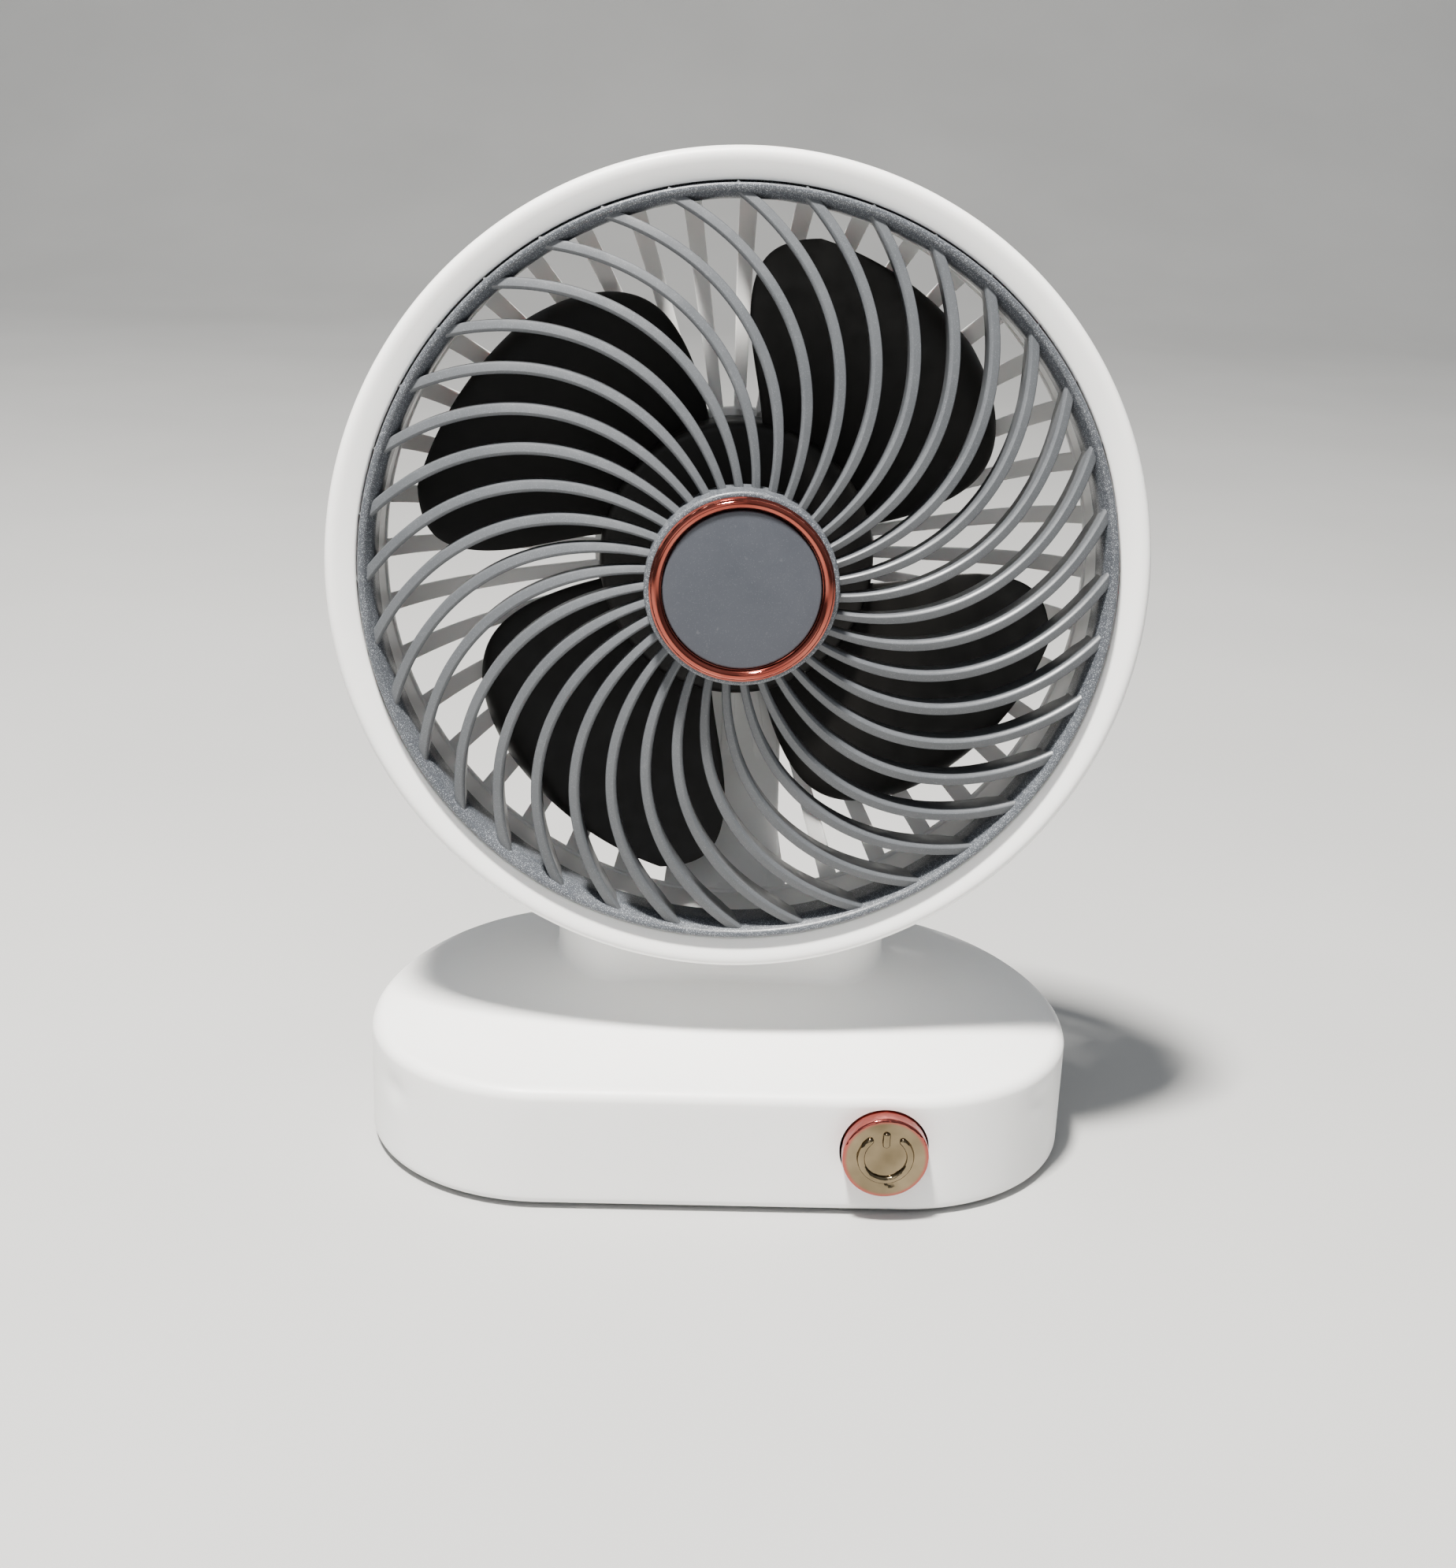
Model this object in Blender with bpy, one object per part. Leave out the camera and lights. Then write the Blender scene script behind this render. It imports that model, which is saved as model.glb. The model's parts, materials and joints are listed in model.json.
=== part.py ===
"""A small round table fan: a tilting head with a spiral grille on an oval base.

World frame: +Z up, the fan blows towards -Y, and the origin is on the ground under the middle of the fan's
overall width and depth. The base's own middle is CENTRING behind it, because the button stands out in front.
Lengths in this file are millimetres, and MM turns them into Blender's metres.
The head is built in its own frame: +Z is the fan's axis towards the front, +Y is up, and z = 0 is the front
edge of the bezel. Everything is scripted from the driving dimensions below.
"""
import math

import bmesh
import bpy
from mathutils import Euler, Vector

MM = 0.001
ROUND = 44                     # facets of the largest round pieces
GAP = 0.3                      # clearance kept between neighbouring pieces

# Head: radii about the fan's axis and places along it
BEZEL_RADIUS = 85.0
LIP_RADIUS = 78.5              # inner edge of the bezel's front face
BEZEL_DEPTH = 13.0
RIM_RADIUS = 74.9              # clear opening of the grille's rim
RIM_BACK = -10.2
HUB_RADIUS = 19.6
HUB_FRONT = 13.2
CAP_RADIUS = 15.9
FRONT_BARS = 36
REAR_BARS = 40
DRUM_RADIUS = 75.3             # inside of the rear housing's wall
DRUM_BACK = -22.8              # where the drum ends and the rear guard begins
GUARD_PLATE = 31.0             # closed middle of the rear guard
PLATE_FRONT = -38.5
ROTOR_HUB_RADIUS = 29.5
ROTOR_FRONT = -22.0
ROTOR_BACK = -36.0
BLADE_TIP = 69.0
BLADES = 4
BLADE_ROWS = 6                 # facets of a blade from the hub outwards, and across it
BLADE_COLUMNS = 4
MOTOR_RADIUS = 12.2
MOTOR_FRONT = -31.0
MOTOR_BACK = -46.0
SHAFT_RADIUS = 1.0
SPINE_HALF = 12.0              # half width of the spine behind the guard

# Where the head sits over the base, whose middle is x = y = 0 until the last step moves everything back
CENTRING = 2.0
HEAD_CENTRE = (0.0, -18.0, 135.3)
HEAD_LEAN = 4.0                # degrees that the fan's axis points upwards
HINGE = (0.0, 15.0, 41.0)

# Base
BASE_HALF_WIDTH = 79.0
BASE_HALF_DEPTH = 40.0
BASE_BOTTOM = 1.0
DECK_EDGE = 28.5               # height of the top edge along the front
DECK_RISE = 12.75
CREASE = 0.5                   # the crease runs at this share of the back edge's distance
FALL = 0.0875                  # slope behind the crease
WALL = 2.2
NECK_HALF_WIDTH = 37.5
NECK_HALF_DEPTH = 14.0
NECK_Y = 13.0
NECK_TOP = 48.0
BUTTON = (34.9, 16.0)          # x and z of the button's centre
BUTTON_RADIUS = 9.3
BOARD_Z = 6.0

# Colour, roughness and metallic value of each finish
FINISHES = {
    "white_plastic": ((0.83, 0.83, 0.80), 0.45, 0.0),
    "grey_plastic": ((0.16, 0.17, 0.19), 0.5, 0.0),
    "dark_plastic": ((0.06, 0.065, 0.07), 0.5, 0.0),
    "rose_gold": ((0.78, 0.45, 0.36), 0.12, 1.0),
    "steel": ((0.55, 0.55, 0.56), 0.3, 1.0),
    "brass": ((0.72, 0.55, 0.25), 0.3, 1.0),
    "copper": ((0.65, 0.32, 0.18), 0.4, 1.0),
    "rubber": ((0.05, 0.05, 0.05), 0.85, 0.0),
    "board": ((0.03, 0.18, 0.08), 0.5, 0.0),
    "wrap": ((0.06, 0.2, 0.45), 0.4, 0.0),
}


# ---------------------------------------------------------------- tools
def clear_scene():
    """Remove the scene's objects."""
    for thing in list(bpy.data.objects):
        bpy.data.objects.remove(thing, do_unlink=True)


def frame(name, location, lean=0.0, parent=None):
    """An empty that carries a joint's axis or a group of pieces."""
    empty = bpy.data.objects.new(name, None)
    empty.location = Vector(location) * MM
    empty.rotation_euler = Euler((math.radians(lean), 0.0, 0.0))
    empty.empty_display_size = 0.01
    empty.parent = parent
    bpy.context.scene.collection.objects.link(empty)
    return empty


def solid(name, bm):
    """Turn a bmesh in millimetres into an object at the origin."""
    bmesh.ops.remove_doubles(bm, verts=bm.verts, dist=1e-4)
    bmesh.ops.recalc_face_normals(bm, faces=bm.faces)
    bmesh.ops.scale(bm, vec=(MM, MM, MM), verts=bm.verts)
    mesh = bpy.data.meshes.new(name)
    bm.to_mesh(mesh)
    bm.free()
    piece = bpy.data.objects.new(name, mesh)
    bpy.context.scene.collection.objects.link(piece)
    return piece


def boolean(target, tool, operation):
    """Join, cut or trim the target with a tool that is in the same frame, then delete the tool."""
    step = target.modifiers.new(operation.lower(), "BOOLEAN")
    step.operation = operation
    step.solver = "EXACT"
    step.object = tool
    bpy.context.view_layer.update()
    evaluated = target.evaluated_get(bpy.context.evaluated_depsgraph_get())
    result = bpy.data.meshes.new_from_object(evaluated)
    target.modifiers.clear()
    target.data = result
    bpy.data.objects.remove(tool, do_unlink=True)


def add(target, bm):
    """Unite a bmesh with the target."""
    boolean(target, solid("joined_shape", bm), "UNION")


def cut(target, bm):
    """Cut a bmesh out of the target."""
    boolean(target, solid("cutting_shape", bm), "DIFFERENCE")


def finish(piece, look, parent=None, location=(0.0, 0.0, 0.0), rotation=(0.0, 0.0, 0.0)):
    """Give a piece its own material, its smooth shading and its place."""
    colour, roughness, metallic = FINISHES[look]
    material = bpy.data.materials.new(piece.name + "_finish")
    material.use_nodes = True
    shader = material.node_tree.nodes["Principled BSDF"]
    shader.inputs["Base Color"].default_value = (*colour, 1.0)
    shader.inputs["Roughness"].default_value = roughness
    shader.inputs["Metallic"].default_value = metallic
    material.diffuse_color = (*colour, 1.0)
    piece.data.materials.clear()
    piece.data.materials.append(material)
    piece.data.shade_smooth()
    piece.data.set_sharp_from_angle(angle=math.radians(35.0))
    piece.parent = parent
    piece.location = Vector(location) * MM
    piece.rotation_euler = Euler([math.radians(angle) for angle in rotation])
    return piece


def turned(outline, segments=32, closed=False):
    """Spin an outline of (radius, z) points about Z. A closed outline makes a ring."""
    bm = bmesh.new()
    points = [bm.verts.new((radius, 0.0, z)) for radius, z in outline]
    ends = points[1:] + points[:1] if closed else points[1:]
    edges = [bm.edges.new(pair) for pair in zip(points, ends)]
    bmesh.ops.spin(bm, geom=points + edges, cent=(0, 0, 0), axis=(0, 0, 1), angle=math.tau,
                   steps=segments, use_merge=True)
    return bm


def disc(radius, low, high, segments=24, at=(0.0, 0.0), edge=0.0):
    """A solid cylinder along Z, with an optional chamfer on its upper edge."""
    outline = [(0.0, low), (radius, low), (radius, high - edge), (radius - edge, high), (0.0, high)]
    bm = turned([point for i, point in enumerate(outline) if edge or i != 3], segments)
    bmesh.ops.translate(bm, vec=(*at, 0.0), verts=bm.verts)
    return bm


def tube(inner, outer, low, high, segments=24, at=(0.0, 0.0)):
    """A plain ring along Z."""
    bm = turned([(outer, high), (outer, low), (inner, low), (inner, high)], segments, closed=True)
    bmesh.ops.translate(bm, vec=(*at, 0.0), verts=bm.verts)
    return bm


def box(low, high):
    """A box between two corners."""
    bm = bmesh.new()
    bmesh.ops.create_cube(bm, size=1.0)
    low, high = Vector(low), Vector(high)
    bmesh.ops.scale(bm, vec=high - low, verts=bm.verts)
    bmesh.ops.translate(bm, vec=(high + low) / 2, verts=bm.verts)
    return bm


def turn(bm, axis, degrees, about=(0.0, 0.0, 0.0)):
    """Rotate a bmesh about an axis through a point."""
    matrix = Euler([math.radians(degrees) * (axis == name) for name in "XYZ"]).to_matrix()
    bmesh.ops.rotate(bm, cent=about, matrix=matrix, verts=bm.verts)
    return bm


def loft(bm, rings):
    """Skin equal rings of points into one closed body with flat ends."""
    made = [[bm.verts.new(point) for point in ring] for ring in rings]
    for first, second in zip(made, made[1:]):
        for i in range(len(first)):
            j = (i + 1) % len(first)
            bm.faces.new((first[i], first[j], second[j], second[i]))
    bm.faces.new(reversed(made[0]))
    bm.faces.new(made[-1])


def merged(*shapes):
    """Put bmeshes that stay apart from each other into one bmesh."""
    whole = bmesh.new()
    for bm in shapes:
        mesh = bpy.data.meshes.new("merged_shape")
        bm.to_mesh(mesh)
        bm.free()
        whole.from_mesh(mesh)
        bpy.data.meshes.remove(mesh)
    return whole


def arc(centre, radius, start, end, steps):
    """Points on an arc, from one angle to another in degrees."""
    angles = [math.radians(start + (end - start) * i / steps) for i in range(steps + 1)]
    return [(centre[0] + radius * math.cos(a), centre[1] + radius * math.sin(a)) for a in angles]


def polar(radius, degrees):
    """The x and y of a point on a circle."""
    return radius * math.cos(math.radians(degrees)), radius * math.sin(math.radians(degrees))


def smooth(share):
    """Ease from 0 to 1."""
    share = min(1.0, max(0.0, share))
    return share * share * (3.0 - 2.0 * share)


# ---------------------------------------------------------------- head
def screw(head_radius, head_height, radius, length):
    """A cylinder-head screw along Z with its head's underside at z = 0, pointing to +Z, with a slot."""
    top = -head_height
    outline = [(0.0, top), (head_radius, top), (head_radius, 0.0), (radius, 0.0), (radius, length), (0.0, length)]
    piece = solid("screw_shape", turned(outline, 8))
    slot = head_radius * 0.7
    cut(piece, box((-slot, -0.3, top - 1.0), (slot, 0.3, top + head_height * 0.45)))
    return piece


def screws(names, places, sizes, parent=None, rotation=(0.0, 0.0, 0.0)):
    """Copies of one screw that share a mesh."""
    master = screw(*sizes)
    for name, place in zip(names, places):
        copy = bpy.data.objects.new(name, master.data.copy())
        bpy.context.scene.collection.objects.link(copy)
        finish(copy, "steel", parent, place, rotation)
    bpy.data.objects.remove(master, do_unlink=True)


HOUSING_SCREW_RADIUS = 81.75
HOUSING_SCREW_ANGLES = (45, 135, 225, 315)


def front_bezel(head):
    """The white ring: a channel open to the back, with four screw posts in it."""
    outline = [(BEZEL_RADIUS, -BEZEL_DEPTH)]
    outline += arc((BEZEL_RADIUS - 2.4, -2.4), 2.4, 0, 90, 2)
    outline += [(LIP_RADIUS, -1.7), (LIP_RADIUS, -6.0), (LIP_RADIUS + 1.5, -6.0),
                (LIP_RADIUS + 1.5, -3.6), (BEZEL_RADIUS - 1.5, -3.0), (BEZEL_RADIUS - 1.5, -BEZEL_DEPTH)]
    piece = solid("front_bezel", turned(outline, ROUND, closed=True))
    places = [polar(HOUSING_SCREW_RADIUS, angle) for angle in HOUSING_SCREW_ANGLES]
    add(piece, merged(*[disc(2.4, -10.0, -3.2, 7, at) for at in places]))
    cut(piece, merged(*[disc(1.3, -11.0, -5.0, 8, at) for at in places]))
    finish(piece, "white_plastic", head)


def bar_centre(share):
    """Radius and turn of a spiral bar's middle, from the hub (0) to the rim (1)."""
    radius = HUB_RADIUS - 1.5 + (RIM_RADIUS + 1.6 - HUB_RADIUS) * share
    return radius, 3.3 + 20.3 * share + 16.4 * share * share


def bar_front(share):
    """How far forward a spiral bar's front edge stands."""
    return -0.6 + 8.1 * (1.0 - share * share)


def spiral_bars(steps=4):
    """The grille's bars: deep fins that sweep anticlockwise and flatten towards the rim."""
    bm = bmesh.new()
    for bar in range(FRONT_BARS):
        rings = []
        for i in range(steps + 1):
            share = i / steps
            radius, angle = bar_centre(share)
            next_radius, next_angle = bar_centre(share + 0.01)
            here = Vector(polar(radius, angle + 10.0 * bar))
            side = (Vector(polar(next_radius, next_angle + 10.0 * bar)) - here).normalized()
            side = Vector((-side.y, side.x)) * (0.9 + 0.3 * share)
            front = bar_front(share)
            back = front - 5.5 - 4.0 * share
            rings.append([(*(here + side), front), (*(here - side), front),
                          (*(here - side), back), (*(here + side), back)])
        loft(bm, rings)
    return bm


def front_grille(head):
    """The grey grille: a funnel rim with a flange behind the bezel's lip, the spiral bars and a hollow hub."""
    rim = [(LIP_RADIUS + 0.5, -6.4), (RIM_RADIUS + 3.1, -6.4), (RIM_RADIUS + 3.1, -0.8), (RIM_RADIUS + 2.1, -0.1),
           (RIM_RADIUS, -2.2), (RIM_RADIUS, RIM_BACK), (LIP_RADIUS + 0.5, RIM_BACK)]
    hub = [(0.0, HUB_FRONT - 2.0), (CAP_RADIUS + 0.4, HUB_FRONT - 2.0), (CAP_RADIUS + 0.4, HUB_FRONT),
           (HUB_RADIUS - 0.6, HUB_FRONT), (HUB_RADIUS, HUB_FRONT - 0.6), (HUB_RADIUS, 2.2),
           (HUB_RADIUS - 2.0, 2.2), (HUB_RADIUS - 2.0, HUB_FRONT - 4.0), (0.0, HUB_FRONT - 4.0)]
    piece = solid("front_grille", spiral_bars())
    add(piece, turned(rim, ROUND, closed=True))
    add(piece, turned(hub, 28))
    finish(piece, "grey_plastic", head)


def hub_trim(head):
    """The rose-gold ring on the hub's face and the flat grey cap inside it."""
    middle, bulge = (CAP_RADIUS + 18.6) / 2, (18.6 - CAP_RADIUS) / 2
    ring = [(18.6, HUB_FRONT + GAP)] + arc((middle, HUB_FRONT + 1.0), bulge, 15, 165, 3)
    ring += [(CAP_RADIUS + 0.7, HUB_FRONT + GAP)]
    finish(solid("hub_ring", turned(ring, 32, closed=True)), "rose_gold", head)
    low = HUB_FRONT - 2.0 + GAP
    finish(solid("hub_cap", disc(CAP_RADIUS - 0.1, low, HUB_FRONT + 1.1, 32, edge=0.35)), "grey_plastic", head)


def guard_line(radius):
    """Place along the axis of the rear guard's inner face, a shallow dome that is steep at its rim."""
    share = min(1.0, (radius - GUARD_PLATE) / (DRUM_RADIUS - GUARD_PLATE))
    return PLATE_FRONT + 14.8 * share ** 4


def rear_bars():
    """The rear guard's straight radial bars, which taper towards the middle."""
    bm = bmesh.new()
    radii = [GUARD_PLATE - 2.0, 54.0, 67.0, 73.4, DRUM_RADIUS + 0.8]
    for bar in range(REAR_BARS):
        angle = math.radians(360.0 / REAR_BARS * bar)
        along, across = Vector((math.cos(angle), math.sin(angle))), Vector((-math.sin(angle), math.cos(angle)))
        rings = []
        for radius in radii:
            half = 1.25 + 0.7 * (radius - GUARD_PLATE) / (DRUM_RADIUS - GUARD_PLATE)
            front = guard_line(max(radius, GUARD_PLATE))
            left, right = along * radius - across * half, along * radius + across * half
            rings.append([(*left, front), (*right, front), (*right, front - 2.0), (*left, front - 2.0)])
        loft(bm, rings)
    return bm


def hinge_in_head():
    """The hinge axis as y and z in the head's frame."""
    lean = math.radians(HEAD_LEAN)
    y, z = HINGE[1] - HEAD_CENTRE[1], HINGE[2] - HEAD_CENTRE[2]
    return y * math.sin(lean) + z * math.cos(lean), -y * math.cos(lean) + z * math.sin(lean)


def spine():
    """The arm down the back of the guard, as a side outline given a width."""
    pivot_y, pivot_z = hinge_in_head()
    outline = [(-GUARD_PLATE + 4.0, PLATE_FRONT - 0.8)]
    outline += [(-radius, guard_line(radius) - 0.8) for radius in (54.0, 68.0)]
    outline += [(-DRUM_RADIUS - 0.8, -24.2), (-DRUM_RADIUS - 4.0, -25.0), (pivot_y + 8.0, pivot_z + 4.6)]
    outline += [(pivot_y, pivot_z + 4.6), (pivot_y, pivot_z - 5.0), (pivot_y + 8.0, pivot_z - 5.0)]
    outline += [(-68.0, -46.0), (-GUARD_PLATE + 4.0, -46.5)]
    bm = bmesh.new()
    loft(bm, [[(x, y, z) for y, z in outline] for x in (-SPINE_HALF, SPINE_HALF)])
    return bm


def rear_housing(head):
    """The white drum round the rotor, with a flange that closes the bezel and is screwed to it."""
    outline = [(83.2, -10.5), (83.2, -12.9), (DRUM_RADIUS + 2.2, -13.2), (DRUM_RADIUS + 2.0, DRUM_BACK),
               (DRUM_RADIUS, DRUM_BACK), (DRUM_RADIUS, -10.5)]
    piece = solid("rear_housing", turned(outline, ROUND, closed=True))
    places = [polar(HOUSING_SCREW_RADIUS, angle) for angle in HOUSING_SCREW_ANGLES]
    cut(piece, merged(*[disc(1.3, -15.0, -9.0, 8, at) for at in places]))
    finish(piece, "white_plastic", head)
    screws([f"housing_screw_{i + 1}" for i in range(4)], [(*at, -13.2 - GAP) for at in places],
           (2.1, 1.2, 1.0, 7.0), head)


def rear_guard(head):
    """The white guard behind the rotor: a ring on the drum's end, the bars, the motor's seat and the spine."""
    ring = [(DRUM_RADIUS + 2.0, DRUM_BACK - GAP), (DRUM_RADIUS + 1.9, DRUM_BACK - 2.8),
            (DRUM_RADIUS - 0.4, DRUM_BACK - 2.8), (DRUM_RADIUS - 0.4, DRUM_BACK - GAP)]
    plate = [(GUARD_PLATE, PLATE_FRONT), (GUARD_PLATE, -41.0), (16.4, -41.0), (16.4, -44.5), (14.6, -44.5),
             (14.6, PLATE_FRONT)]
    pivot_y, pivot_z = hinge_in_head()
    piece = solid("rear_guard", turned(ring, ROUND, closed=True))
    add(piece, rear_bars())
    add(piece, turned(plate, 28, closed=True))
    add(piece, spine())
    knuckle = turn(disc(6.0, -12.5, 12.5, 16), "Y", 90)
    bmesh.ops.translate(knuckle, vec=(0.0, pivot_y, pivot_z), verts=knuckle.verts)
    add(piece, knuckle)
    bore = turn(disc(2.3, -14.0, 14.0, 12), "Y", 90)
    bmesh.ops.translate(bore, vec=(0.0, pivot_y, pivot_z), verts=bore.verts)
    cut(piece, bore)
    cut(piece, merged(*[disc(1.3, -43.0, -36.0, 8, (x, 0.0)) for x in (-22.0, 22.0)]))
    finish(piece, "white_plastic", head)


def motor(head):
    """The motor: can, end cap, magnet, bushes, front mount, rear cover and the parts on its shaft."""
    can = [(3.8, MOTOR_FRONT), (MOTOR_RADIUS - 0.8, MOTOR_FRONT), (MOTOR_RADIUS, MOTOR_FRONT - 0.8),
           (MOTOR_RADIUS, MOTOR_BACK), (MOTOR_RADIUS - 0.8, MOTOR_BACK),
           (MOTOR_RADIUS - 0.8, MOTOR_FRONT - 1.2), (3.8, MOTOR_FRONT - 1.2)]
    finish(solid("motor_can", turned(can, 20, closed=True)), "steel", head)
    back = MOTOR_BACK - GAP
    finish(solid("motor_end_cap", tube(3.8, MOTOR_RADIUS, back - 2.2, back, 24)), "dark_plastic", head)
    finish(solid("motor_magnet", tube(9.7, 11.1, -44.0, -34.0, 24)), "dark_plastic", head)
    for name, middle in (("front_bush", MOTOR_FRONT - 0.6), ("rear_bush", back - 1.1)):
        finish(solid(name, tube(1.3, 3.5, middle - 1.4, middle + 1.4, 12)), "brass", head)
    mount = tube(MOTOR_RADIUS + GAP, 25.5, -38.2, -36.7, 24)
    piece = solid("motor_mount", mount)
    cut(piece, merged(*[disc(1.3, -39.0, -36.0, 8, (x, 0.0)) for x in (-22.0, 22.0)]))
    finish(piece, "dark_plastic", head)
    screws(["mount_screw_left", "mount_screw_right"], [(x, 0.0, -36.4) for x in (-22.0, 22.0)],
           (1.9, 1.0, 1.0, 4.4), head, (180.0, 0.0, 0.0))
    cover = [(0.0, -51.6), (21.5, -51.0), (24.0, -48.5), (24.0, -41.3), (22.2, -41.3), (22.2, -47.8), (20.9, -49.2),
             (0.0, -49.7)]
    piece = solid("motor_cover", turned(cover, 28))
    cut(piece, merged(*[box((-9.0, y - 0.9, -53.0), (9.0, y + 0.9, -47.0)) for y in (-5.0, 0.0, 5.0)]))
    finish(piece, "white_plastic", head)


def blade(bm, start):
    """One broad paddle of the rotor, swept about the axis and pitched, as two skins joined at their edges."""
    rows = []
    for i in range(BLADE_ROWS + 1):
        share = i / BLADE_ROWS
        radius = ROTOR_HUB_RADIUS - 0.8 + (BLADE_TIP - ROTOR_HUB_RADIUS + 0.8) * share
        low = 13.5 + 3.0 * share + 22.0 * share ** 6
        high = 82.0 + 8.0 * math.sin(math.pi * share * 0.8) - 10.0 * share ** 9
        row = []
        for j in range(BLADE_COLUMNS + 1):
            across = j / BLADE_COLUMNS
            front = -33.0 + 5.5 * share + (9.5 + 3.0 * share) * across
            row.append((*polar(radius, start + low + (high - low) * across), front))
        rows.append(row)
    skins = [[[bm.verts.new((x, y, z - drop)) for x, y, z in row] for row in rows] for drop in (0.0, 1.5)]
    for skin in skins:
        for low_row, high_row in zip(skin, skin[1:]):
            for j in range(BLADE_COLUMNS):
                bm.faces.new((low_row[j], low_row[j + 1], high_row[j + 1], high_row[j]))
    outline = [(0, j) for j in range(BLADE_COLUMNS)] + [(i, BLADE_COLUMNS) for i in range(BLADE_ROWS)]
    outline += [(BLADE_ROWS, BLADE_COLUMNS - j) for j in range(BLADE_COLUMNS)]
    outline += [(BLADE_ROWS - i, 0) for i in range(BLADE_ROWS)]
    for (i, j), (k, m) in zip(outline, outline[1:] + outline[:1]):
        bm.faces.new((skins[0][i][j], skins[0][k][m], skins[1][k][m], skins[1][i][j]))


def rotor(head):
    """Everything that spins: the four-blade rotor, its nut, the shaft and the armature."""
    cup = [(0.0, ROTOR_FRONT)]
    cup += [(ROTOR_HUB_RADIUS - 1.5, ROTOR_FRONT), (ROTOR_HUB_RADIUS, ROTOR_FRONT - 1.5),
            (ROTOR_HUB_RADIUS, ROTOR_BACK), (ROTOR_HUB_RADIUS - 1.6, ROTOR_BACK),
            (ROTOR_HUB_RADIUS - 1.6, ROTOR_FRONT - 1.8), (4.0, ROTOR_FRONT - 1.8), (4.0, -29.6), (0.0, -29.6)]
    piece = solid("fan_rotor", turned(cup, 28))
    bm = bmesh.new()
    for i in range(BLADES):
        blade(bm, 360.0 / BLADES * i)
    add(piece, bm)
    cut(piece, disc(SHAFT_RADIUS + GAP, -31.0, -20.0, 12))
    finish(piece, "dark_plastic", head)
    finish(solid("rotor_nut", tube(SHAFT_RADIUS + GAP, 3.6, -21.7, -19.6, 6)), "brass", head)
    finish(solid("motor_shaft", disc(SHAFT_RADIUS, -49.2, -19.0, 12)), "steel", head)
    core = [(9.3, -35.0), (9.3, -41.5), (4.0, -41.5), (4.0, -43.6), (1.3, -43.6), (1.3, -35.0)]
    piece = solid("motor_armature", turned(core, 18, closed=True))
    slots = [turn(box((5.0, -0.9, -42.5), (10.0, 0.9, -34.0)), "Z", angle) for angle in (0, 120, 240)]
    cut(piece, merged(*slots))
    finish(piece, "copper", head)


# ---------------------------------------------------------------- base
def oval(half_width, half_depth, segments=44, at=(0.0, 0.0)):
    """A stadium outline: straight front and back with half-round ends."""
    straight = half_width - half_depth
    points = []
    for i in range(segments):
        angle = math.tau * (i + 0.5) / segments
        x, y = half_depth * math.cos(angle), half_depth * math.sin(angle)
        points.append((at[0] + x + math.copysign(straight, x), at[1] + y))
    return points


def back_edge(x):
    """Distance of the base's outline behind its middle line."""
    over = max(0.0, abs(x) - (BASE_HALF_WIDTH - BASE_HALF_DEPTH))
    return math.sqrt(max(0.0, BASE_HALF_DEPTH ** 2 - over ** 2))


def deck(x, y):
    """Height of the base's top: a swell from the front edge up to a soft crease, then a slight fall."""
    ridge = CREASE * back_edge(x)
    across = max(0.0, 1.0 - (x / BASE_HALF_WIDTH) ** 2) ** 0.7
    climb = smooth((y + back_edge(x) + 0.001) / (ridge + back_edge(x) + 0.001))
    return DECK_EDGE + DECK_RISE * across * climb - FALL * max(0.0, y - ridge)


def base_body():
    """The base's outer form as one closed body: rounded edges, level front edge, swelling top."""
    wide, deep = BASE_HALF_WIDTH, BASE_HALF_DEPTH
    rings = [[(x, y, z) for x, y in oval(wide - inset, deep - inset)]
             for inset, z in ((0.8, BASE_BOTTOM), (0.0, BASE_BOTTOM + 0.8))]
    for inset, drop in ((0.0, 2.2), (0.6, 0.7), (2.0, 0.0)):
        rings.append([(x, y, deck(x, y) - drop) for x, y in oval(wide - inset, deep - inset)])
    for share in (0.75, 0.5, 0.25):
        outline = oval((wide - 2.0), (deep - 2.0))
        rings.append([(x * share, y * share, deck(x * share, y * share)) for x, y in outline])
    bm = bmesh.new()
    loft(bm, rings)
    return bm


def base_cavity():
    """The hollow of the base: the outer form moved in by the wall's thickness."""
    outline = oval(BASE_HALF_WIDTH - WALL, BASE_HALF_DEPTH - WALL, 24)
    rings = [[(x, y, 0.0) for x, y in outline]]
    for share in (1.0, 0.75, 0.4):
        rings.append([(x * share, y * share, deck(x * share, y * share) - WALL) for x, y in outline])
    bm = bmesh.new()
    loft(bm, rings)
    return bm


def prism(outline, low, high):
    """An outline pulled straight up."""
    bm = bmesh.new()
    loft(bm, [[(x, y, z) for x, y in outline] for z in (low, high)])
    return bm


POSTS = [(x, y) for x in (-56.0, 56.0) for y in (-18.0, 18.0)]
BRACKET_POSTS = [(-21.5, HINGE[1]), (21.5, HINGE[1])]


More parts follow.
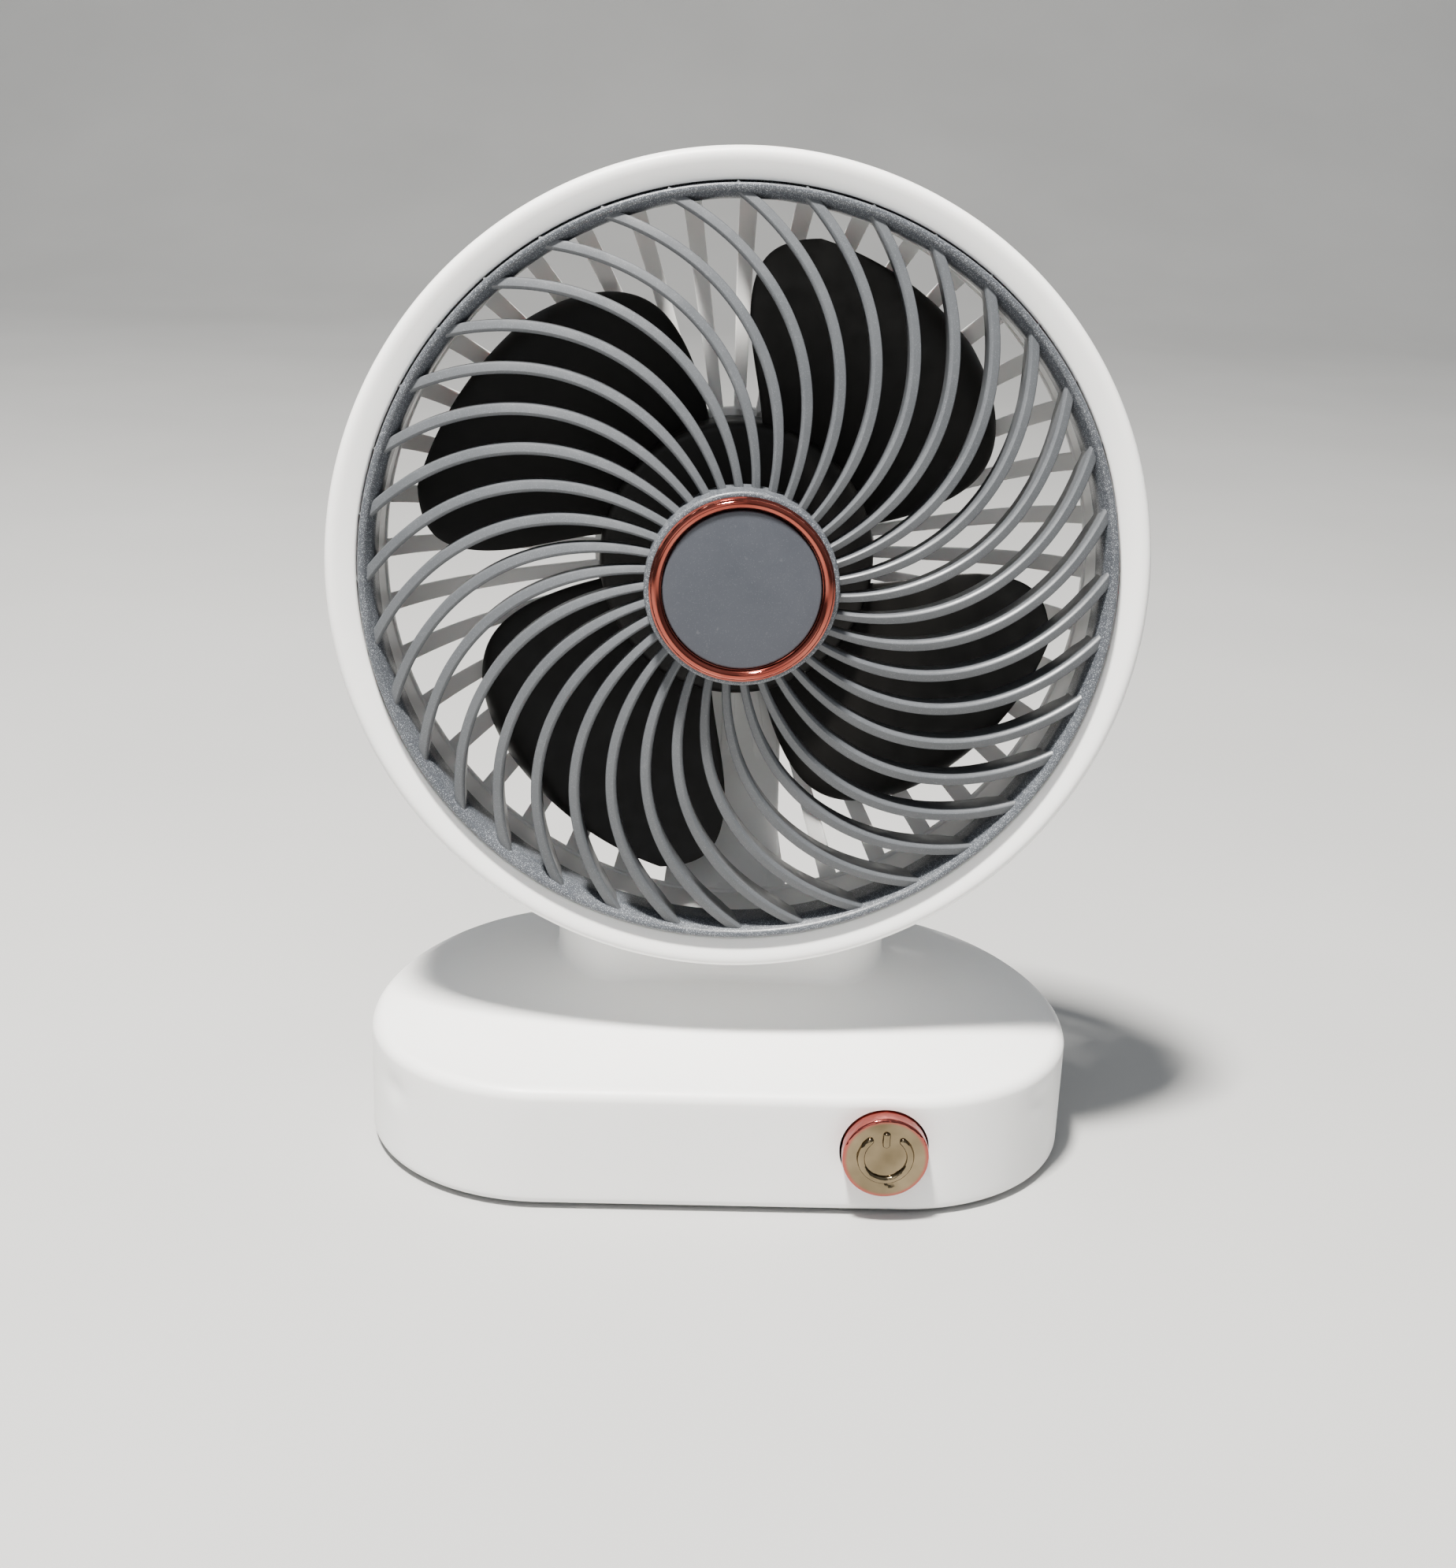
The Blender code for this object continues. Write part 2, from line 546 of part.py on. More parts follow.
def base_shell():
    """The white upper shell: oval body, raised neck, cavity, posts, and holes for the button and the port."""
    piece = solid("base_shell", base_body())
    neck = [[(x, y, z) for x, y in oval(NECK_HALF_WIDTH + out, NECK_HALF_DEPTH + out, 32, (0.0, NECK_Y))]
            for out, z in ((2.2, 33.0), (0.0, 42.0), (0.0, NECK_TOP - 1.5), (-1.5, NECK_TOP))]
    bm = bmesh.new()
    loft(bm, neck)
    add(piece, bm)
    cut(piece, base_cavity())
    cut(piece, prism(oval(NECK_HALF_WIDTH - 2.4, NECK_HALF_DEPTH - 2.4, 20, (0.0, NECK_Y)), 20.0, NECK_TOP - 2.0))
    cut(piece, box((-13.4, 7.2, 30.0), (13.4, 24.2, NECK_TOP + 2.0)))
    add(piece, merged(*[disc(3.2, 3.3, deck(*at) - 1.4, 8, at) for at in POSTS]))
    add(piece, merged(*[disc(3.0, 29.6, NECK_TOP - 1.0, 8, at) for at in BRACKET_POSTS]))
    cut(piece, merged(*[disc(1.4, 2.0, 16.0, 6, at) for at in POSTS]))
    cut(piece, merged(*[disc(1.4, 28.0, 40.0, 6, at) for at in BRACKET_POSTS]))
    hole = turn(disc(BUTTON_RADIUS + 0.35, 36.0, 42.0, 28), "X", 90)
    bmesh.ops.translate(hole, vec=(BUTTON[0], 0.0, BUTTON[1]), verts=hole.verts)
    cut(piece, hole)
    cut(piece, box((-4.9, 36.0, BOARD_Z + 1.5), (4.9, 42.0, BOARD_Z + 5.6)))
    finish(piece, "white_plastic")


def base_plate():
    """The bottom plate with standoffs for the boards, foot recesses and screw holes."""
    outline = oval(BASE_HALF_WIDTH - WALL - GAP, BASE_HALF_DEPTH - WALL - GAP, 24)
    piece = solid("base_plate", prism(outline, BASE_BOTTOM, 3.0))
    add(piece, merged(*[disc(2.4, 2.5, BOARD_Z - GAP, 6, (x, y)) for x in (-20.0, 20.0) for y in (12.0, 29.0)]))
    cut(piece, merged(*[disc(3.1, 0.0, 2.2, 8, at) for at in POSTS]))
    cut(piece, merged(*[disc(1.4, 2.0, 4.0, 8, at) for at in POSTS]))
    cut(piece, merged(*[disc(5.3, 0.0, 1.6, 12, (x * 1.12, y * 0.5)) for x, y in POSTS]))
    cut(piece, merged(*[disc(1.1, 3.4, 7.0, 6, at) for at in ((-20.0, 12.0), (20.0, 29.0))]))
    finish(piece, "white_plastic")
    for side, x in (("left", -1), ("right", 1)):
        for end, y in (("front", -1), ("back", 1)):
            foot = solid(f"foot_{end}_{side}", disc(5.0, 0.0, 1.3, 12))
            finish(foot, "rubber", None, (x * 56.0 * 1.12, y * 9.0, 0.0))
    screws([f"base_screw_{i + 1}" for i in range(4)], [(*at, 2.2 - GAP) for at in POSTS], (2.7, 0.8, 1.1, 10.0))


def tilt_hinge():
    """The steel bracket inside the neck, its pin and clip, two friction washers and two screws."""
    y, z = HINGE[1], HINGE[2]
    piece = solid("hinge_bracket", box((-24.5, y - 6.0, 27.6), (24.5, y + 6.0, 29.2)))
    ear = [(y - 4.4, 28.0), (y + 4.4, 28.0)] + arc((y, z), 4.4, 0, 180, 6)
    for low, high in ((-15.6, -14.1), (14.1, 15.6)):
        bm = bmesh.new()
        loft(bm, [[(x, *point) for point in ear] for x in (low, high)])
        add(piece, bm)
    bore = turn(disc(2.3, -18.0, 18.0, 12), "Y", 90)
    bmesh.ops.translate(bore, vec=(0.0, y, z), verts=bore.verts)
    cut(piece, bore)
    cut(piece, merged(*[disc(1.4, 26.0, 31.0, 8, at) for at in BRACKET_POSTS]))
    finish(piece, "steel")
    pin = turned([(0.0, -16.9), (1.7, -16.9), (2.0, -16.6), (2.0, 15.9), (3.3, 15.9), (3.3, 17.0), (0.0, 17.0)], 16)
    finish(solid("hinge_pin", pin), "steel", None, HINGE, (0.0, 90.0, 0.0))
    finish(solid("pin_clip", tube(2.3, 3.6, -16.7, -15.9, 12)), "steel", None, HINGE, (0.0, 90.0, 0.0))
    for name, low in (("washer_left", -13.8), ("washer_right", 12.8)):
        washer = solid(name, tube(2.3, 4.9, low, low + 1.0, 16))
        finish(washer, "dark_plastic", None, HINGE, (0.0, 90.0, 0.0))
    screws(["bracket_screw_left", "bracket_screw_right"], [(*at, 27.6 - GAP) for at in BRACKET_POSTS],
           (2.4, 1.2, 1.1, 9.0))


def power_button(axis):
    """The button: a plated cap with a raised power sign and a post behind it. Its frame points out of the base."""
    cap = [(0.0, -7.6), (2.2, -7.6), (2.2, 0.0), (BUTTON_RADIUS - 1.3, 0.0), (BUTTON_RADIUS - 1.3, -4.6),
           (BUTTON_RADIUS + 0.7, -4.6), (BUTTON_RADIUS + 0.7, -3.4), (BUTTON_RADIUS, -3.4), (BUTTON_RADIUS, 2.8),
           (BUTTON_RADIUS - 0.8, 3.5), (0.0, 3.2)]
    piece = solid("power_button", turned(cap, 24))
    add(piece, box((-0.65, 1.4, 2.8), (0.65, 6.0, 3.9)))
    bm = bmesh.new()
    rings = []
    for i in range(11):
        angle = 128.0 + 284.0 * i / 10
        rings.append([(*polar(radius, angle), z) for radius, z in ((4.6, 2.8), (5.9, 2.8), (5.9, 3.9), (4.6, 3.9))])
    loft(bm, rings)
    add(piece, bm)
    finish(piece, "rose_gold", axis)
    finish(solid("switch_plunger", disc(1.7, -11.0, -7.9, 12)), "dark_plastic", axis)


def button_spring(axis):
    """The return spring: a closed coil round the button's post."""
    turns, sides, wire, radius = 3, 4, 0.35, 4.0
    bm = bmesh.new()
    rings = []
    for i in range(turns * 10 + 1):
        angle = math.tau * i / 10
        z = -7.6 + 6.6 * i / (turns * 10)
        rings.append([(math.cos(angle) * (radius + wire * math.cos(math.tau * j / sides)),
                       math.sin(angle) * (radius + wire * math.cos(math.tau * j / sides)),
                       z + wire * math.sin(math.tau * j / sides)) for j in range(sides)])
    loft(bm, rings)
    finish(solid("button_spring", bm), "steel", axis)


def electronics(axis):
    """The switch and its board, the main board, its parts and port, and the battery in its holder."""
    switch = solid("tact_switch", box((-3.1, -3.1, -13.0), (3.1, 3.1, -9.4)))
    cut(switch, disc(2.1, -12.6, -9.0, 12))
    finish(switch, "dark_plastic", axis)
    board = solid("switch_board", box((-9.0, -8.0, -14.9), (9.0, 8.0, -13.3)))
    finish(board, "board", axis)
    top = BOARD_Z + 1.6
    board = solid("circuit_board", box((-28.0, 8.0, BOARD_Z), (28.0, 35.0, top)))
    cut(board, merged(*[disc(1.4, 5.0, 9.0, 10, at) for at in ((-20.0, 12.0), (20.0, 29.0))]))
    finish(board, "board")
    finish(solid("control_chip", box((-14.0, 14.0, top + GAP), (-6.0, 22.0, top + 1.8))), "dark_plastic")
    finish(solid("board_capacitor", disc(3.0, top + GAP, top + 8.0, 12, (10.0, 18.0), 0.4)), "dark_plastic")
    port = solid("charging_port", box((-4.5, 30.6, top + GAP), (4.5, 39.6, top + 3.5)))
    cut(port, box((-4.1, 32.0, top + 0.7), (4.1, 41.0, top + 3.1)))
    add(port, box((-3.2, 31.0, top + 1.6), (3.2, 38.0, top + 2.2)))
    finish(port, "steel")
    screws(["board_screw_1", "board_screw_2"], [(x, y, top + GAP) for x, y in ((-20.0, 12.0), (20.0, 29.0))],
           (1.9, 1.0, 0.8, 3.8), None, (180.0, 0.0, 0.0))
    holder = solid("battery_holder", box((-52.0, -27.5, 3.3), (17.0, -6.5, 9.5)))
    groove = turn(disc(9.5, -51.0, 16.0, 24), "Y", 90)
    bmesh.ops.translate(groove, vec=(0.0, -17.0, 14.4), verts=groove.verts)
    cut(holder, groove)
    finish(holder, "dark_plastic")
    cell = turned([(0.0, -32.5), (8.6, -32.5), (9.1, -32.0), (9.1, 31.5), (8.4, 32.0), (3.0, 32.0), (3.0, 33.0),
                   (0.0, 33.0)], 20)
    finish(solid("battery_cell", cell), "wrap", None, (-17.5, -17.0, 14.4), (0.0, 90.0, 0.0))


# ---------------------------------------------------------------- assembly
def build():
    """Make every piece on the frame of the body that carries it."""
    clear_scene()
    tilt = frame("tilt_axis", HINGE)
    offset = Vector(HEAD_CENTRE) - Vector(HINGE)
    head = frame("fan_axis", offset, 90.0 - HEAD_LEAN, tilt)
    push = frame("button_axis", (BUTTON[0], -BASE_HALF_DEPTH, BUTTON[1]), 90.0)
    front_bezel(head)
    front_grille(head)
    hub_trim(head)
    rear_housing(head)
    rear_guard(head)
    motor(head)
    rotor(head)
    base_shell()
    base_plate()
    tilt_hinge()
    power_button(push)
    button_spring(push)
    electronics(push)
    for thing in bpy.data.objects:
        if thing.parent is None:
            thing.location.y += CENTRING * MM


build()
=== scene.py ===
"""Looks of a small round table fan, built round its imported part.

Lengths are millimetres until a piece is made: MM turns them into Blender's metres. The head's pieces are
worked out in the head's own frame (x to the right, y up, z forward along the fan's axis, with z = 0 at the
front edge of the bezel) and the base's pieces in the base's own frame (its middle at x = y = 0, the ground at
z = 0). Every surface is a grid of points worked out with numpy: an outline turned round an axis, or a section
carried along a path.
"""
import json
import math
import bmesh
import bpy
import numpy as np
from mathutils import Matrix, Vector


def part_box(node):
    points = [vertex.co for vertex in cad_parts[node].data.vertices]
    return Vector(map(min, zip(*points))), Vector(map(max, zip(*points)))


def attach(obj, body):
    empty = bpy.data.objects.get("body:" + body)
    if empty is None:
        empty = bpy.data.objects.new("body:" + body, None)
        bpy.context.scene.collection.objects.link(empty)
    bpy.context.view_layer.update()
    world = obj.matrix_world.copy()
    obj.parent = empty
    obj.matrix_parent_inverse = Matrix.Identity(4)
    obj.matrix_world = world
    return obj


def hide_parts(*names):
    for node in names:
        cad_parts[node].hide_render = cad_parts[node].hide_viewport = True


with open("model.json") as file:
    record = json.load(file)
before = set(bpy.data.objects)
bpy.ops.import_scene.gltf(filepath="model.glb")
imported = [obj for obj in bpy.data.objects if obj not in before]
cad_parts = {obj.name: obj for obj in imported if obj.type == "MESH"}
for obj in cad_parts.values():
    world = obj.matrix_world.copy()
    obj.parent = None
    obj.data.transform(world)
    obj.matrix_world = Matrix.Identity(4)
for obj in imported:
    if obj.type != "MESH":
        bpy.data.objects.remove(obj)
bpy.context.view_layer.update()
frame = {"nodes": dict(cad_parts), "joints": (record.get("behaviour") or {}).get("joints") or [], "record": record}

MM = 0.001
TURN = 2.0 * np.pi

# ------------------------------------------------------------------ places, all from the frame
JOINTS = {joint["name"]: joint for joint in frame["joints"]}
AXIS = np.array(JOINTS["rotor_spin"]["axis"], float)
HEAD = np.array(JOINTS["rotor_spin"]["pos_m"], float) / MM
HINGE = np.array(JOINTS["head_tilt"]["pos_m"], float) / MM
SHELL_LOW, SHELL_HIGH = (np.array(corner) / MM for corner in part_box("base_shell"))
BUTTON_LOW, BUTTON_HIGH = (np.array(corner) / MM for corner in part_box("power_button"))
BASE = np.array([0.0, (SHELL_LOW[1] + SHELL_HIGH[1]) / 2.0, 0.0])
ACROSS = np.array([1.0, 0.0, 0.0])
UP = np.cross(AXIS, ACROSS)


def in_head(points):
    """The head's own frame put into the world: x along ACROSS, y along UP and z along the fan's axis."""
    return HEAD + points[..., :1] * ACROSS + points[..., 1:2] * UP + points[..., 2:3] * AXIS


def in_base(points):
    """The base's own frame put into the world: moved to the middle of the base."""
    return BASE + points


# ------------------------------------------------------------------ sizes in mm
BEZEL_RADIUS = 85.0
BEZEL_WALL = 1.5
BEZEL_BACK = -13.0
LIP_RADIUS = 78.5
LIP_BACK = -6.0
RIM_RADIUS = 74.9              # where the grille's funnel ends
SKIRT_RADIUS = 79.0            # the grille's skirt, which sits inside the bezel
SKIRT_BACK = -10.2
HUB_RADIUS = 19.6
HUB_FRONT = 13.2
HUB_BACK = 2.2
CAP_RADIUS = 15.85
FRONT_BARS = 36
REAR_BARS = 40
DRUM_RADIUS = 75.3             # inside of the drum round the rotor
DRUM_OUTSIDE = 77.3
DRUM_BACK = -22.8
FLANGE_RADIUS = 83.2
FLANGE_FRONT = -10.5
GUARD_PLATE = 31.0             # radius of the plate that carries the motor
PLATE_FRONT = -38.5
PLATE_BACK = -41.0
PLATE_BORE = 14.6
SPINE_HALF_WIDTH = 12.0
ROTOR_HUB = 29.5
ROTOR_FRONT = -22.0
ROTOR_BACK = -36.0
BLADES = 4
HALF_WIDTH = 79.0              # the base
HALF_DEPTH = 40.0
DECK_EDGE = 28.5               # height of the base's top at its outer edge
DECK_RISE = 12.75              # and the climb from there to the crease
CREASE = 0.5                   # the crease's place as a share of the half depth
FALL = 0.0875                  # slope behind the crease
WALL = 2.2
FOOT_EDGE = 2.0                # radius of the rounded bottom edge
TOP_EDGE = 2.6                 # radius of the rounded top edge
NECK = (37.5, 14.0, 13.0)      # half width, half depth and y of the neck
NECK_TOP = 48.0
NECK_FILLET = 1.3              # radius where the neck meets the deck
NECK_EDGE = 1.8                # radius of the neck's rounded top edge
NECK_WALL = 2.4
SLOT = (13.4, 8.5, 15.7)       # half width, half depth and y of the slot for the spine
SLOT_CORNER = 0.8
ARC_SHARE = 0.6                # share of an oval's quarter that its arc takes
SIDE_SHARE = 0.3               # share of a slot's quarter that its short side takes
DIMPLES = ((-71.5, 19.5), (70.5, 21.0))  # x and z of shallow sink marks on the base's front corners
FLANGE_SCREW_CIRCLE = 81.75
BASE_SCREWS = (56.0, 18.0)     # distance of each bottom screw from the base's middle, in x and y
FEET = (62.72, 9.0)            # distance of each foot from the base's middle, in x and y
BUTTON_RADIUS = 9.3
BUTTON_DEPTH = 3.5             # how far the button stands out of the base
BUTTON_FLANGE = 0.7            # width of the flange that holds it inside
BUTTON_X = (BUTTON_LOW[0] + BUTTON_HIGH[0]) / 2.0
BUTTON_Z = (BUTTON_LOW[2] + BUTTON_HIGH[2]) / 2.0


# ------------------------------------------------------------------ numpy shapes
def smooth(share):
    """Ease from 0 to 1: 3 s^2 - 2 s^3 of the share held between 0 and 1."""
    share = np.clip(share, 0.0, 1.0)
    return share * share * (3.0 - 2.0 * share)


def rounded(corners, steps=6, closed=True):
    """An outline with its corners rounded. Each corner is (a, b, radius), and is replaced by the quadratic
    curve that leaves one side and joins the next at a distance of the radius, so that it touches both."""
    corners = np.asarray(corners, float)
    here, size = corners[:, :2], corners[:, 2]
    before, after = np.roll(here, 1, 0) - here, np.roll(here, -1, 0) - here
    far_before, far_after = np.linalg.norm(before, axis=1), np.linalg.norm(after, axis=1)
    reach = np.minimum(size, 0.49 * np.minimum(far_before, far_after))
    if not closed:
        reach[[0, -1]] = 0.0
    start = here + before * (reach / far_before)[:, None]
    end = here + after * (reach / far_after)[:, None]
    s = np.linspace(0.0, 1.0, steps)[None, :, None]
    curve = (1 - s) ** 2 * start[:, None] + 2 * s * (1 - s) * here[:, None] + s * s * end[:, None]
    parts = [row if cut > 1e-9 else row[:1] for row, cut in zip(curve, reach)]
    return np.concatenate(parts)


def turned(outline, segments=192):
    """An outline of (radius, z) turned about z: (r cos a, r sin a, z) for evenly spaced angles a."""
    angle = np.linspace(0.0, TURN, segments, endpoint=False)[:, None]
    radius, z = outline[:, 0], outline[:, 1]
    return np.stack([radius * np.cos(angle), radius * np.sin(angle), z + 0.0 * angle], -1)


def spun(points, count):
    """Copies of a grid at even turns about z: x cos a - y sin a, x sin a + y cos a."""
    angle = (np.arange(count) * TURN / count).reshape((-1,) + (1,) * (points.ndim - 1))
    x, y, z = points[..., 0], points[..., 1], points[..., 2]
    return np.stack([x * np.cos(angle) - y * np.sin(angle), x * np.sin(angle) + y * np.cos(angle),
                     z + 0.0 * angle], -1)


def ended(points):
    """A tube's grid with both ends drawn together to the middle of their sections, which closes it."""
    first, last = points[..., :1, :, :], points[..., -1:, :, :]
    start, end = (ring.mean(-2, keepdims=True) + 0.0 * ring for ring in (first, last))
    return np.concatenate([start, points, end], -3)


def carried(centre, side, front, section):
    """A section carried along a path: centre + across * side, and front + height along z, for a path of
    points in the plane and a section of (across, height) pairs, which may differ from point to point."""
    flat = centre[:, None] + section[..., :1] * side[:, None]
    return np.concatenate([flat, front[:, None, None] + section[..., 1:]], -1)


def quarters(count):
    """For four times count points round an outline from its right end anticlockwise: how far along its
    quarter each point is, counted from the end of the outline, and the signs of its x and y."""
    share = (np.arange(4 * count) / count) % 4.0
    quarter, part = np.floor(share), share % 1.0
    part = np.where(quarter % 2 == 0, part, 1.0 - part)
    sign_x = np.where((quarter == 0) | (quarter == 3), 1.0, -1.0)
    return part, sign_x, np.where(quarter < 2, 1.0, -1.0)


def oval(half_width, half_depth, count=128):
    """A stadium outline. Each quarter is an arc that takes ARC_SHARE of its points and half of a straight
    side that takes the rest, so that ovals of any size correspond point by point."""
    part, sign_x, sign_y = quarters(count)
    angle = np.clip(part / ARC_SHARE, 0.0, 1.0) * np.pi / 2
    straight = (1.0 - np.clip((part - ARC_SHARE) / (1.0 - ARC_SHARE), 0.0, 1.0)) * (half_width - half_depth)
    x = (half_depth * np.cos(angle) + straight) * sign_x
    return np.stack([x, half_depth * np.sin(angle) * sign_y], -1)


def slot_outline(half_width, half_depth, corner, count=128):
    """A rectangle with round corners that corresponds to oval point by point. Each quarter is a straight side
    that takes SIDE_SHARE of its points, an arc that ends at ARC_SHARE, and half of the long side."""
    part, sign_x, sign_y = quarters(count)
    side = np.clip(part / SIDE_SHARE, 0.0, 1.0) * (half_depth - corner)
    angle = np.clip((part - SIDE_SHARE) / (ARC_SHARE - SIDE_SHARE), 0.0, 1.0) * np.pi / 2
    straight = (1.0 - np.clip((part - ARC_SHARE) / (1.0 - ARC_SHARE), 0.0, 1.0)) * (half_width - corner)
    x, y = corner * np.cos(angle) + straight, corner * np.sin(angle) + side
    return np.stack([x * sign_x, y * sign_y], -1)


def level(outline, z):
    """An outline at a height, or at a height for each of its points."""
    return np.concatenate([outline, np.broadcast_to(np.reshape(z, (-1, 1)), (len(outline), 1))], -1)


def stacked(outline, heights):
    """An outline repeated at several heights."""
    return np.stack([level(outline, z) for z in heights])


# ------------------------------------------------------------------ meshes
def quads(shape, offset, round_rows, round_columns):
    """The four corner numbers of each cell of a grid, where a round direction joins its end to its start."""
    rows, columns = shape
    i, j = np.meshgrid(np.arange(rows if round_rows else rows - 1),
                       np.arange(columns if round_columns else columns - 1), indexing="ij")
    row, next_row = i * columns, (i + 1) % rows * columns
    next_j = (j + 1) % columns
    cell = np.stack([row + j, next_row + j, next_row + next_j, row + next_j], -1)
    return cell.reshape(-1, 4) + offset


def mesh_piece(name, grids, sharp=32.0):
    """One object from grids of points in the world, in mm. Each grid is (points, round rows, round columns),
    and may hold many copies in its first axis. Points that meet are merged, which closes seams and poles."""
    points, faces, offset = [], [], 0
    for grid, round_rows, round_columns in grids:
        copies = grid.reshape((-1,) + grid.shape[-3:])
        each = copies.shape[1] * copies.shape[2]
        cell = quads(copies.shape[1:3], 0, round_rows, round_columns)
        starts = offset + each * np.arange(len(copies))
        faces.append((cell[None] + starts[:, None, None]).reshape(-1, 4))
        points.append(copies.reshape(-1, 3))
        offset += each * len(copies)
    mesh = bpy.data.meshes.new(name)
    mesh.from_pydata((np.concatenate(points) * MM).tolist(), [], np.concatenate(faces).tolist())
    bm = bmesh.new()
    bm.from_mesh(mesh)
    bmesh.ops.remove_doubles(bm, verts=bm.verts, dist=2e-6)
    bmesh.ops.recalc_face_normals(bm, faces=bm.faces)
    if bm.calc_volume(signed=True) < 0.0:
        bmesh.ops.reverse_faces(bm, faces=bm.faces)
    bm.to_mesh(mesh)
    bm.free()
    mesh.shade_smooth()
    mesh.set_sharp_from_angle(angle=math.radians(sharp))
    piece = bpy.data.objects.new(name, mesh)
    bpy.context.scene.collection.objects.link(piece)
    return piece


def cut_with(piece, cutter, sharp=32.0):
    """Cut one closed piece out of another, then delete the cutter."""
    step = piece.modifiers.new("cut", "BOOLEAN")
    step.operation = "DIFFERENCE"
    step.solver = "EXACT"
    step.object = cutter
    bpy.context.view_layer.update()
    result = bpy.data.meshes.new_from_object(piece.evaluated_get(bpy.context.evaluated_depsgraph_get()))
    piece.modifiers.clear()
    piece.data = result
    bpy.data.objects.remove(cutter)
    piece.data.shade_smooth()
    piece.data.set_sharp_from_angle(angle=math.radians(sharp))


def place(piece, look, body, slot, *replaced):
    """Give a finished piece its material and the body it rides on, and hide the nodes it stands for. The slot
    argument is not used.
    """
    piece.data.materials.clear()
    piece.data.materials.append(look)
    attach(piece, body)
    if replaced:
        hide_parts(*replaced)
    return piece


# ------------------------------------------------------------------ materials
class Look:
    """A node tree that is built up step by step on Object coordinates."""

    def __init__(self, name, roughness, metallic=0.0, specular=0.5):
        self.material = bpy.data.materials.new(name)
        self.material.use_nodes = True
        self.nodes = self.material.node_tree.nodes
        self.links = self.material.node_tree.links
        self.shader = self.nodes["Principled BSDF"]
        self.shader.inputs["Metallic"].default_value = metallic
        self.shader.inputs["Roughness"].default_value = roughness
        self.shader.inputs["Specular IOR Level"].default_value = specular
        self.where = self.nodes.new("ShaderNodeTexCoord").outputs["Object"]
        self.bumps = None

    def noise(self, scale, detail=3.0, roughness=0.5):
        """Noise with a given number of waves per metre."""
        node = self.nodes.new("ShaderNodeTexNoise")
        node.inputs["Scale"].default_value = scale
        node.inputs["Detail"].default_value = detail
        node.inputs["Roughness"].default_value = roughness
        self.links.new(self.where, node.inputs["Vector"])
        return node.outputs["Fac"]

    def cells(self, scale):
        """A random shade for each cell of a Voronoi pattern."""
        node = self.nodes.new("ShaderNodeTexVoronoi")
        node.inputs["Scale"].default_value = scale
        self.links.new(self.where, node.inputs["Vector"])
        split = self.nodes.new("ShaderNodeSeparateColor")
        self.links.new(node.outputs["Color"], split.inputs["Color"])
        return split.outputs["Red"]

    def steps(self, value, stops):
        """A colour ramp: stops of (place, colour)."""
        node = self.nodes.new("ShaderNodeValToRGB")
        ramp = node.color_ramp
        while len(ramp.elements) < len(stops):
            ramp.elements.new(0.5)
        for element, (where, colour) in zip(ramp.elements, stops):
            element.position = where
            element.color = (*colour, 1.0)
        self.links.new(value, node.inputs["Fac"])
        return node.outputs["Color"]

    def span(self, value, low, high, out_low, out_high):
        """A value moved from one range to another and held inside it."""
        node = self.nodes.new("ShaderNodeMapRange")
        ends = {"From Min": low, "From Max": high, "To Min": out_low, "To Max": out_high}
        for socket, number in ends.items():
            node.inputs[socket].default_value = number
        self.links.new(value, node.inputs["Value"])
        return node.outputs["Result"]

    def blend(self, factor, first, second, mode="MIX"):
        """Two colours mixed by a factor."""
        node = self.nodes.new("ShaderNodeMix")
        node.data_type = "RGBA"
        node.blend_type = mode
        sockets = {socket.identifier: socket for socket in node.inputs}
        for key, value in (("Factor_Float", factor), ("A_Color", first), ("B_Color", second)):
            if isinstance(value, (float, tuple)):
                sockets[key].default_value = value
            else:
                self.links.new(value, sockets[key])
        return next(out for out in node.outputs if out.identifier == "Result_Color")

    def bump(self, height, distance, strength=1.0):
        """One more layer of relief, with its depth in mm."""
        node = self.nodes.new("ShaderNodeBump")
        node.inputs["Distance"].default_value = distance * MM
        node.inputs["Strength"].default_value = strength
        self.links.new(height, node.inputs["Height"])
        if self.bumps:
            self.links.new(self.bumps, node.inputs["Normal"])
        self.bumps = node.outputs["Normal"]

    def done(self, colour, roughness=None, **sockets):
        """Join everything to the shader. Plain numbers go on its own sockets."""
        self.links.new(colour, self.shader.inputs["Base Color"])
        if roughness:
            self.links.new(roughness, self.shader.inputs["Roughness"])
        if self.bumps:
            self.links.new(self.bumps, self.shader.inputs["Normal"])
        for name, number in sockets.items():
            self.shader.inputs[name.replace("_", " ")].default_value = number
        return self.material


def white_plastic():
    """Satin white ABS: faint warm clouding, a fine moulded grain and a very slight waviness."""
    look = Look("white_abs", 0.42)
    tint = look.steps(look.noise(28.0, 4.0), [(0.3, (0.85, 0.845, 0.83)), (0.7, (0.88, 0.88, 0.868))])
    grime = look.span(look.noise(160.0, 5.0, 0.6), 0.64, 0.82, 0.0, 0.08)
    tint = look.blend(grime, tint, (0.62, 0.60, 0.55, 1.0))
    look.bump(look.noise(55.0, 2.0), 0.12, 0.25)
    look.bump(look.noise(2600.0, 2.0, 0.6), 0.012, 0.6)
    rough = look.span(look.noise(420.0, 4.0), 0.3, 0.7, 0.36, 0.5)
    return look.done(tint, rough, Subsurface_Weight=0.04, Subsurface_Scale=0.002)


